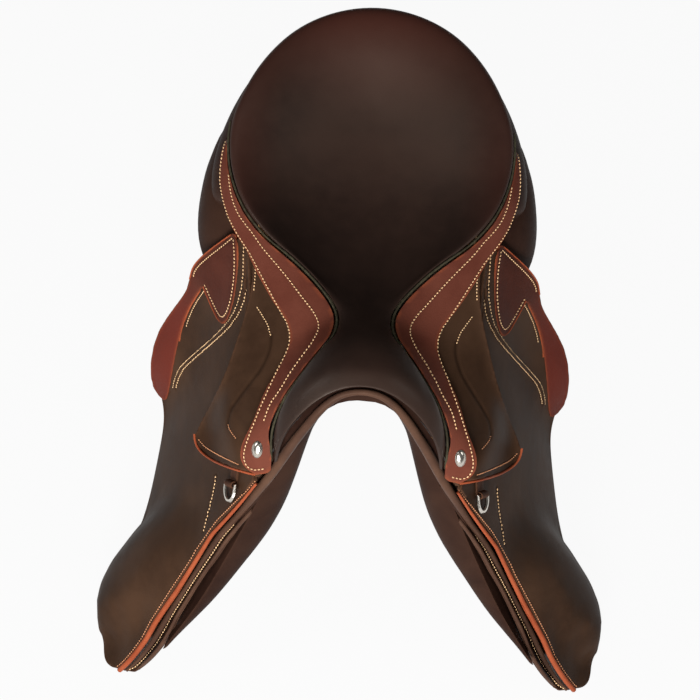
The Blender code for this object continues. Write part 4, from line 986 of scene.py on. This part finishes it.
FLAP_ROW = [(258.4, 476.8), (250.7, 486), (240, 497.4), (227.8, 509.7), (217, 520.4), (209.4, 531), (203.3, 540),
            (197, 548.5), (189.5, 561.7), (180.3, 575.5), (171, 589.3), (160.4, 606), (151.2, 620), (142.8, 636.7),
            (133, 650.5), (123.7, 661.2), (115.5, 668)]
FLAP_DART = [(216.4, 475.3), (212.4, 497.4), (207.9, 514.3), (203.6, 532)]
SWEAT_OUTER = [(266, 479.5), (255.5, 488.5), (242.5, 506), (230, 520.5), (221.5, 528.5), (213.2, 539.5),
               (205.8, 551.5), (198.3, 565), (189, 579.5), (179.8, 594), (169.5, 609), (159, 624.5), (152, 638),
               (143.6, 650.4), (131.5, 665), (124, 670)]
SWEAT_INNER = [(272, 489), (267.6, 496), (255.3, 509.7), (241.5, 525), (227.8, 541.8), (217, 558.7),
               (206.3, 572.4), (197.1, 586.2), (188, 601.5), (178.8, 616.8), (172.7, 630.6), (163.5, 646),
               (153, 658), (141, 668.5), (134, 671.5)]
# the arch's lines: column, row and how far from the camera
ARCH_ROLL = [(357.5, 390.7, 1.5295), (348, 391.8, 1.5305), (338.8, 394.8, 1.5325), (328.5, 401.6, 1.5365),
             (321.6, 408.3, 1.5405), (312.3, 418.6, 1.5475), (303.2, 430, 1.560), (291.5, 444.5, 1.579),
             (281, 460, 1.597), (270, 476, 1.6145), (260, 488, 1.635), (250, 499, 1.655)]
ARCH_LINING = [(357.5, 380.5, 1.5315), (346, 381.5, 1.5325), (334, 385, 1.5355), (322, 391, 1.5405),
               (311, 397, 1.546), (300.5, 405, 1.554), (289, 415, 1.566), (277, 430, 1.583), (268, 446, 1.600),
               (263, 462, 1.613)]
ARCH_UNDER = [(357.5, 401, 1.5345), (348, 401.6, 1.5355), (338, 404, 1.5385), (328.5, 409, 1.5435),
              (321, 415.5, 1.550), (314, 423, 1.557), (306, 433, 1.569)]
PANEL_ARCH = [(331, 396), (329, 404), (326.5, 409), (318, 416), (313, 424), (311, 432), (308, 441), (304, 456)]
PANEL_MOVES = [((178, 634), (164, 648)), ((291, 480), (297, 480)), ((283, 504), (288, 504)),
               ((266, 528), (273, 528)), ((251, 552), (256, 552)), ((232, 576), (238, 576)),
               ((212, 600), (219, 600)), ((190, 624), (195, 624))]
CANTLE_MOVES = [((215.7, 233.8), (229, 212)), ((218.4, 233.6), (230, 212)), ((216, 223.2), (227, 205)),
                ((209.7, 210.5), (217, 202)), ((207.1, 210.1), (214, 201)), ((208.2, 189.5), (211, 189))]
KNEE_LINE = [(154.3, 473), (151.2, 497.4), (146.6, 508), (134.4, 525), (122, 542), (108.4, 562), (100.7, 581.6),
             (96.9, 600), (97.3, 618), (99.9, 637), (103.8, 652), (108.4, 661)]
KNEE_MOVES = [((137, 528), (132.4, 528)), ((118, 552), (115.2, 552)), ((111, 648), (102.8, 648)),
              ((117, 660), (108.2, 661))]
NAIL_MIDDLE, NAIL_TOP, NAIL_FOOT = (257.2, 449.5), (258.6, 440), (256, 459)


# skins of the soft nodes

def skin_mesh(node, levels=2, rim=0.9 * MM, angle=SHARP, fatten=0.0, moves=(), reach=1.6 * MM, apart=()):
    """The mesh of the piece that stands for a soft CAD node. Each of its moves is pairs of places and how
    far their pull reaches."""
    mesh = finer(node, levels, rim, angle, fatten, moves)
    rim_of(mesh, reach, apart)
    mesh.name = node
    return mesh


def skin(node, finish, mesh=None, **settings):
    """The piece that stands for a soft CAD node in the middle."""
    piece = fresh(node + "_leather", mesh or skin_mesh(node, **settings), finish,
                  frame["nodes"][node]["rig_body"])
    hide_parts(node)
    pieces[node] = piece
    return piece


def pair(name, finish, body, mesh=None, **settings):
    """The two pieces that stand for a soft CAD node of each side."""
    both(name, mesh or skin_mesh(f"{name}_right", **settings), finish, body, [name])


def warm_cantle_and_rim(mesh):
    """The seat's redder, lighter tone at the cantle and round the back half of its rim."""
    points = coordinates(mesh)
    rear = np.clip((points[:, 1] - 0.14) / 0.09, 0, 1)
    side = np.clip((np.abs(points[:, 0]) - 0.09) / 0.05, 0, 1) * np.clip((points[:, 1] + 0.02) / 0.06, 0, 1)
    note(mesh, "warm", np.clip(0.9 * rear**1.5 + 0.45 * side, 0, 1))


def stitch(name, pixels, base, body, slot, thread, **settings):
    """Stitches along a line of the photograph on a piece of the -X side, and their mirror image."""
    tree = surface(pieces[base, "right"].data)
    both(name, thread_row(name, seen(pixels, tree), tree, **settings), thread, body)


seat_tree = nodes_surface("seat_cover", "facing_right")
edge_moves = towards(spine("seat_piping_right"), SEAT_EDGE, seat_tree)
seat_moves = [(edge_moves, EDGE_REACH), (opposite(edge_moves), EDGE_REACH)]
seat = skin_mesh("seat_cover", fatten=0.3 * MM, moves=seat_moves)
warm_cantle_and_rim(seat)
skin("seat_cover", seat_leather, seat)
facing = skin_mesh("facing_right", moves=[(pinned("facing_right", [((230, 118), (231.5, 137))]), 0.03),
                                           (pinned("facing_right", FACING_MOVES), 0.013), (edge_moves, 0.016)],
                   reach=0.8 * MM, apart=[goal for _, goal in edge_moves])
facing_tree = surface(facing)
embossed(facing, facing_tree, (FACING_INNER, 1.3, -0.25, 0.25), (FACING_OUTER, 1.3, -0.25, 0.25))
pair("facing", facing_leather, "saddle", facing)
pair("seat_piping", piping_green, "saddle", rim=0, angle=math.radians(95), fatten=0.15 * MM,
     moves=[(edge_moves, 0.016)])

# panels, sweat flaps and what is under them
panel_moves = [(held_back("panel_right", PANEL_ARCH), 0.010), (pinned("panel_right", PANEL_MOVES), 0.022)]
pair("panel", panel_leather, "saddle", rim=2.0 * MM, moves=panel_moves)
sweat_tree = nodes_surface("sweat_flap_right")
tucked = held_back("sweat_flap_right", between(SWEAT_OUTER, SWEAT_INNER, 0.7))
pair("sweat_flap", panel_leather, "saddle", moves=[(tucked, 0.008)])
for block in ("knee_block", "thigh_block"):
    back = held_back(f"{block}_right", between(SWEAT_OUTER, SWEAT_INNER, -0.2))
    pair(block, panel_leather, "saddle", rim=2.0 * MM, moves=[(back, 0.012)])
for billet in ("billet_1", "billet_2", "billet_3"):
    pair(billet, strap_leather, billet, rim=0.8 * MM)
pair("billet_guard", strap_leather, "saddle", rim=0.5 * MM)
pair("flap_root", flap_leather, "saddle", levels=1, rim=0.4 * MM)


def piping_radius(share):
    """The flap's piping, from thin under the skirt to its full thickness down the flap."""
    return (1.4 + 1.6 * min(1, share * 1.6)) * MM


# the flap, with its front edge, padded knee, patch and seams
flap_moves = towards(spine("flap_piping_right"), FLAP_EDGE)
flap = skin_mesh("flap_right", levels=3, rim=0.8 * MM,
                 moves=[(flap_moves, 0.045), (held_back("flap_right", KNEE_LINE, -1), 0.02),
                        (pinned("flap_right", KNEE_MOVES), 0.025)])
flap_tree = surface(flap)
embossed(flap, flap_tree, (SEAM_WELT, 2.2, 1.9, 0.0), (SEAM_OUTER, 1.1, -1.0, 0.8), (SEAM_INNER, 1.1, -1.0, 0.8),
         (FLAP_ROW, 1.2, -0.4, 0.25), (FLAP_DART, 1.6, -1.2, 0.6))
pair("flap", flap_leather, "flap", flap)
piping_path = [goal for _, goal in towards(spine("flap_piping_right", 5.0), FLAP_EDGE)]
pair("flap_piping", piping_orange, "flap",
     cordlet("flap_piping", eased(evenly(piping_path, 3 * MM), 4), piping_radius, sides=3))
flap_tree = surface(flap)
patch = draped("flap_patch", PATCH_OUTLINE, flap_tree, thickness=1.3 * MM, lift=1.2 * MM, reach=1.7 * MM,
               over=True)
note(patch, "warm", np.clip((-coordinates(patch)[:, 2] - 0.05) / 0.06, 0, 1))
embossed(patch, surface(patch), (PATCH_ROW, 1.1, -0.25, 0.3), (PATCH_TONGUE_ROW, 1.1, -0.25, 0.3))
both("flap_patch", patch, patch_leather, "flap", ["flap_patch", "flap_heel"])
for name, line, radius in (("patch_edge", PATCH_EDGE, 0.85), ("flap_rear_edge", REAR_EDGE, 1.1)):
    path = evenly(beside(line, [v.co.copy() for v in patch.vertices], -0.3 * MM), 2.5 * MM)
    both(name, cordlet(name, path, radius * MM), piping_orange, "flap")

# the skirt: one sheet over the bar, cut where it turns
skirt = draped("skirt", SKIRT_OUTLINE, nodes_surface("skirt_right", "skirt_root_right"), thickness=2.6 * MM,
               lift=0.4 * MM, cell=2.6, under=facing_tree, above=flap_tree)
skirt_tree = surface(skirt)
embossed(skirt, skirt_tree, (POCKET_GROOVE, 1.7, -1.2, 0.8), (POCKET_TOP_ROW, 1.1, -0.4, 0.4),
         (POCKET_FOOT_ROW, 1.1, -0.4, 0.4), (SKIRT_FOOT_ROW, 1.2, -0.4, 0.3))
hinge = next(j for j in frame["joints"] if j["name"] == "skirt_lift_right")
hinge_at, hinge_axis = Vector(hinge["pos_m"]), Vector(hinge["axis"])


def cut(mesh, name, keep_inner):
    """One part of the skirt's sheet, cut through its thickness at the line that it turns about."""
    bm = bmesh.new()
    bm.from_mesh(mesh)
    across = hinge_axis.cross(skirt_up).normalized()
    if across.x < 0:
        across = -across
    bmesh.ops.bisect_plane(bm, geom=bm.verts[:] + bm.edges[:] + bm.faces[:], plane_co=hinge_at, plane_no=across,
                           clear_inner=keep_inner, clear_outer=not keep_inner)
    for edge in [e for e in bm.edges if e.is_boundary]:
        edge.smooth = False
    bmesh.ops.holes_fill(bm, edges=[e for e in bm.edges if e.is_boundary], sides=0)
    return mesh_of(bm, name)


skirt_up = skirt_tree.find_nearest(hinge_at + Vector((-0.01, 0.09, 0.03)))[1]
pair("skirt_root", skirt_leather, "saddle", cut(skirt, "skirt_root", True))
pair("skirt", skirt_leather, "skirt", cut(skirt, "skirt", False))
foot = evenly(beside(SKIRT_FOOT, [v.co.copy() for v in skirt.vertices], -0.2 * MM), 2.5 * MM)
pair("skirt_piping", piping_orange, "skirt", cordlet("skirt_piping", foot, 1.3 * MM))

# the roll round the arch and down the front of both sweat flaps, and the flat band with the second ridge beside it
roll = band("sweat_roll", riding(between(SWEAT_OUTER, SWEAT_INNER, -0.5), sweat_tree, 3 * MM),
            riding(SWEAT_INNER, sweat_tree, 3 * MM), [(0, 0), (0.3, 0), (0.5, 0.3 * MM), (0.75, 0.6 * MM), (1, 0)])
both("sweat_roll", roll, roll_leather, "saddle")
ridge = evenly(riding(between(SWEAT_OUTER, SWEAT_INNER, 0.83), sweat_tree, 4 * MM), 4 * MM)


def ridge_radius(share):
    """Thin at both ends of the second ridge."""
    return float(np.interp(share, (0, 0.1, 0.9, 1), (0.6, 2.2, 2.2, 0.6))) * MM


def roll_radius(share):
    """The arch's roll: thickest on the shoulders of the arch, thin at its two ends."""
    from_middle = abs(2 * share - 1)
    return float(np.interp(from_middle, (0, 0.10, 0.22, 0.32, 0.45, 0.93, 1),
                           (3.2, 4.2, 5.2, 4.7, 3.7, 3.6, 2.0))) * MM


def across_both(line):
    """A line of the -X side from its far end to the middle, and its mirror image from there on."""
    return line[::-1] + [Vector((-p.x, p.y, p.z)) for p in line[1:]]


both("sweat_ridge", cordlet("sweat_ridge", ridge, ridge_radius, sides=4), roll_leather, "saddle")
arch = [reached(*spot) for spot in ARCH_ROLL[:-1]]
arch += riding(between(SWEAT_OUTER, SWEAT_INNER, 0.23), sweat_tree, 5 * MM)[9:]
arch[0].x = 0.0
arch = eased(evenly(across_both(arch), 4 * MM), 12)
skin("arch_welt", roll_leather, cordlet("arch_welt", arch, roll_radius, sides=5))
cantle_moves = pinned("cantle_back", CANTLE_MOVES)
skin("cantle_back", panel_leather, moves=[(cantle_moves, 0.03), (opposite(cantle_moves), 0.03)])
for name, *edges in (("head_lining", ARCH_ROLL[:-2], ARCH_LINING), ("arch_lining", ARCH_UNDER, ARCH_ROLL[:7])):
    edges = [across_both([reached(*spot) for spot in line]) for line in edges]
    fresh(name, band(name, *edges, [(0, 0), (0.5, 0), (1, 0)], 1.2 * MM), panel_leather, "saddle")

# thread
FINE = {"pitch": 2.9, "long": 2.1}
for name, pixels, base, body, slot, thread, settings in (
        ("facing_inner", FACING_INNER, "facing", "saddle", "facing", cream_thread, {}),
        ("facing_outer", FACING_OUTER, "facing", "saddle", "facing", cream_thread, {}),
        ("patch", PATCH_ROW, "flap_patch", "flap", "flap_patch", cream_thread, {}),
        ("tongue", PATCH_TONGUE_ROW, "flap_patch", "flap", "flap_patch", cream_thread, {}),
        ("rear", REAR_ROW, "flap", "flap", "flap_patch", cream_thread, {}),
        ("seam_outer", SEAM_OUTER, "flap", "flap", "flap", cream_thread, {}),
        ("seam_inner", SEAM_INNER, "flap", "flap", "flap", cream_thread, {}),
        ("flap_front", FLAP_ROW, "flap", "flap", "flap", tan_thread, {}),
        ("flap_dart", FLAP_DART, "flap", "flap", "flap", cream_thread, {}),
        ("sweat", between(SWEAT_OUTER, SWEAT_INNER, 0.575), "sweat_roll", "saddle", "sweat_flap", cream_thread,
         {"pitch": 4.2, "long": 3.1, "radius": 0.8, "lift": 1.5}),
        ("skirt_foot", SKIRT_FOOT_ROW, "skirt", "skirt", "skirt", tan_thread, {"pitch": 3.0, "long": 2.2}),
        ("skirt_top", SKIRT_TOP_ROW, "skirt_root", "saddle", "skirt_root", cream_thread,
         {"pitch": 3.2, "long": 2.3}),
        ("pocket_top", POCKET_TOP_ROW, "skirt_root", "saddle", "skirt_root", cream_thread, FINE),
        ("pocket_foot", POCKET_FOOT_ROW, "skirt", "skirt", "skirt", tan_thread, FINE)):
    stitch(name + "_thread", pixels, base, body, slot, thread, **settings)

# metal
pair("dee_chape", strap_leather, "flap", rim=0.4 * MM)


def nail():
    """An oval domed nail head with a thin collar, lying on the facing's lobe."""
    middle, top, foot = (struck(*spot, facing_tree) for spot in (NAIL_MIDDLE, NAIL_TOP, NAIL_FOOT))
    place, normal = surface(pieces["facing", "right"].data).find_nearest(middle)[:2]
    along = (top - foot).normalized()
    side = normal.cross(along).normalized()
    turn = Matrix.Translation(place) @ Matrix((side, side.cross(normal), normal)).transposed().to_4x4()
    bm = bmesh.new()
    bmesh.ops.create_uvsphere(bm, u_segments=48, v_segments=24, radius=1.0)
    bmesh.ops.bisect_plane(bm, geom=bm.verts[:] + bm.edges[:] + bm.faces[:], plane_co=(0, 0, -0.2),
                           plane_no=(0, 0, -1), clear_outer=True)
    bmesh.ops.holes_fill(bm, edges=[e for e in bm.edges if e.is_boundary], sides=0)
    bmesh.ops.transform(bm, matrix=turn @ Matrix.Diagonal((5.0 * MM, 8.4 * MM, 3.0 * MM, 1)), verts=bm.verts)
    collar = bmesh.ops.create_cone(bm, cap_ends=True, segments=48, radius1=1.0, radius2=0.94, depth=1.0)["verts"]
    bmesh.ops.transform(bm, matrix=turn @ Matrix.Diagonal((5.7 * MM, 9.1 * MM, 1.3 * MM, 1)), verts=collar)
    return mesh_of(bm, "nail_head")


pair("nail_head", silver, "saddle", nail())
for side, _ in SIDES:
    dress(silver, f"dee_{side}")
    dress(stainless, f"stirrup_bar_{side}", f"bar_catch_{side}", f"catch_pin_{side}")
dress(steel, "head_plate", "gullet_plate")
dress(beech, "tree")

# what the leather covers
skin("seat_foam", latex_foam, levels=1, rim=0, fatten=-1.2 * MM, moves=seat_moves)
for node, flat in (("seat_webbing", (0.122, 0.184)), ("girth_webbing_front", (0.038, 0.296)),
                   ("girth_webbing_rear", (0.054, 0.256))):
    skin(node, webbing, levels=1, rim=0)


# light and floor

def make_floor():
    """A pale sweep that the camera sees as white and that keeps the saddle's shadow."""
    s = Shading("studio_white")
    light_path = s.add("ShaderNodeLightPath", {}, {})
    watched = Value(s, light_path.outputs["Is Camera Ray"]).above(Value(s, light_path.outputs["Is Glossy Ray"]))
    watched = watched.above(Value(s, light_path.outputs["Is Transmission Ray"]))
    grey = s.add("ShaderNodeBsdfDiffuse", {}, {"Color": (0.4, 0.4, 0.4)})
    glow = s.add("ShaderNodeEmission", {}, {"Color": (1.0, 1.0, 1.0), "Strength": 1.0})
    shown = s.add("ShaderNodeMixShader", {}, {0: watched * 0.94, 1: grey.outputs[0], 2: glow.outputs[0]})
    s.plug(s.tree.nodes["Material Output"].inputs["Surface"], shown.outputs[0])
    bm = bmesh.new()
    bmesh.ops.create_grid(bm, x_segments=1, y_segments=1, size=6.0,
                          matrix=Matrix.Translation((0, 0, cad_box[0].z - 0.001)))
    floor = put("studio_floor", mesh_of(bm, "studio_floor"))
    floor.data.materials.append(s.material)


make_floor()
world = bpy.data.worlds.new("studio_air")
bpy.context.scene.world = world
world.use_nodes = True
air = world.node_tree.nodes["Background"].inputs
air["Color"].default_value, air["Strength"].default_value = (1, 0.98, 0.95, 1), 0.09
make_lamp("front_box", (-0.35, -2.2, 0.85), (0, -0.1, -0.05), 1.3, 0.7, 92)
make_lamp("left_box", (-1.7, -0.5, 1.3), (0, -0.05, -0.05), 0.5, 1.3, 13)
make_lamp("right_box", (1.7, -0.6, 1.4), (0, -0.05, -0.05), 0.5, 1.3, 8)
bpy.context.scene.view_settings.view_transform = "Standard"
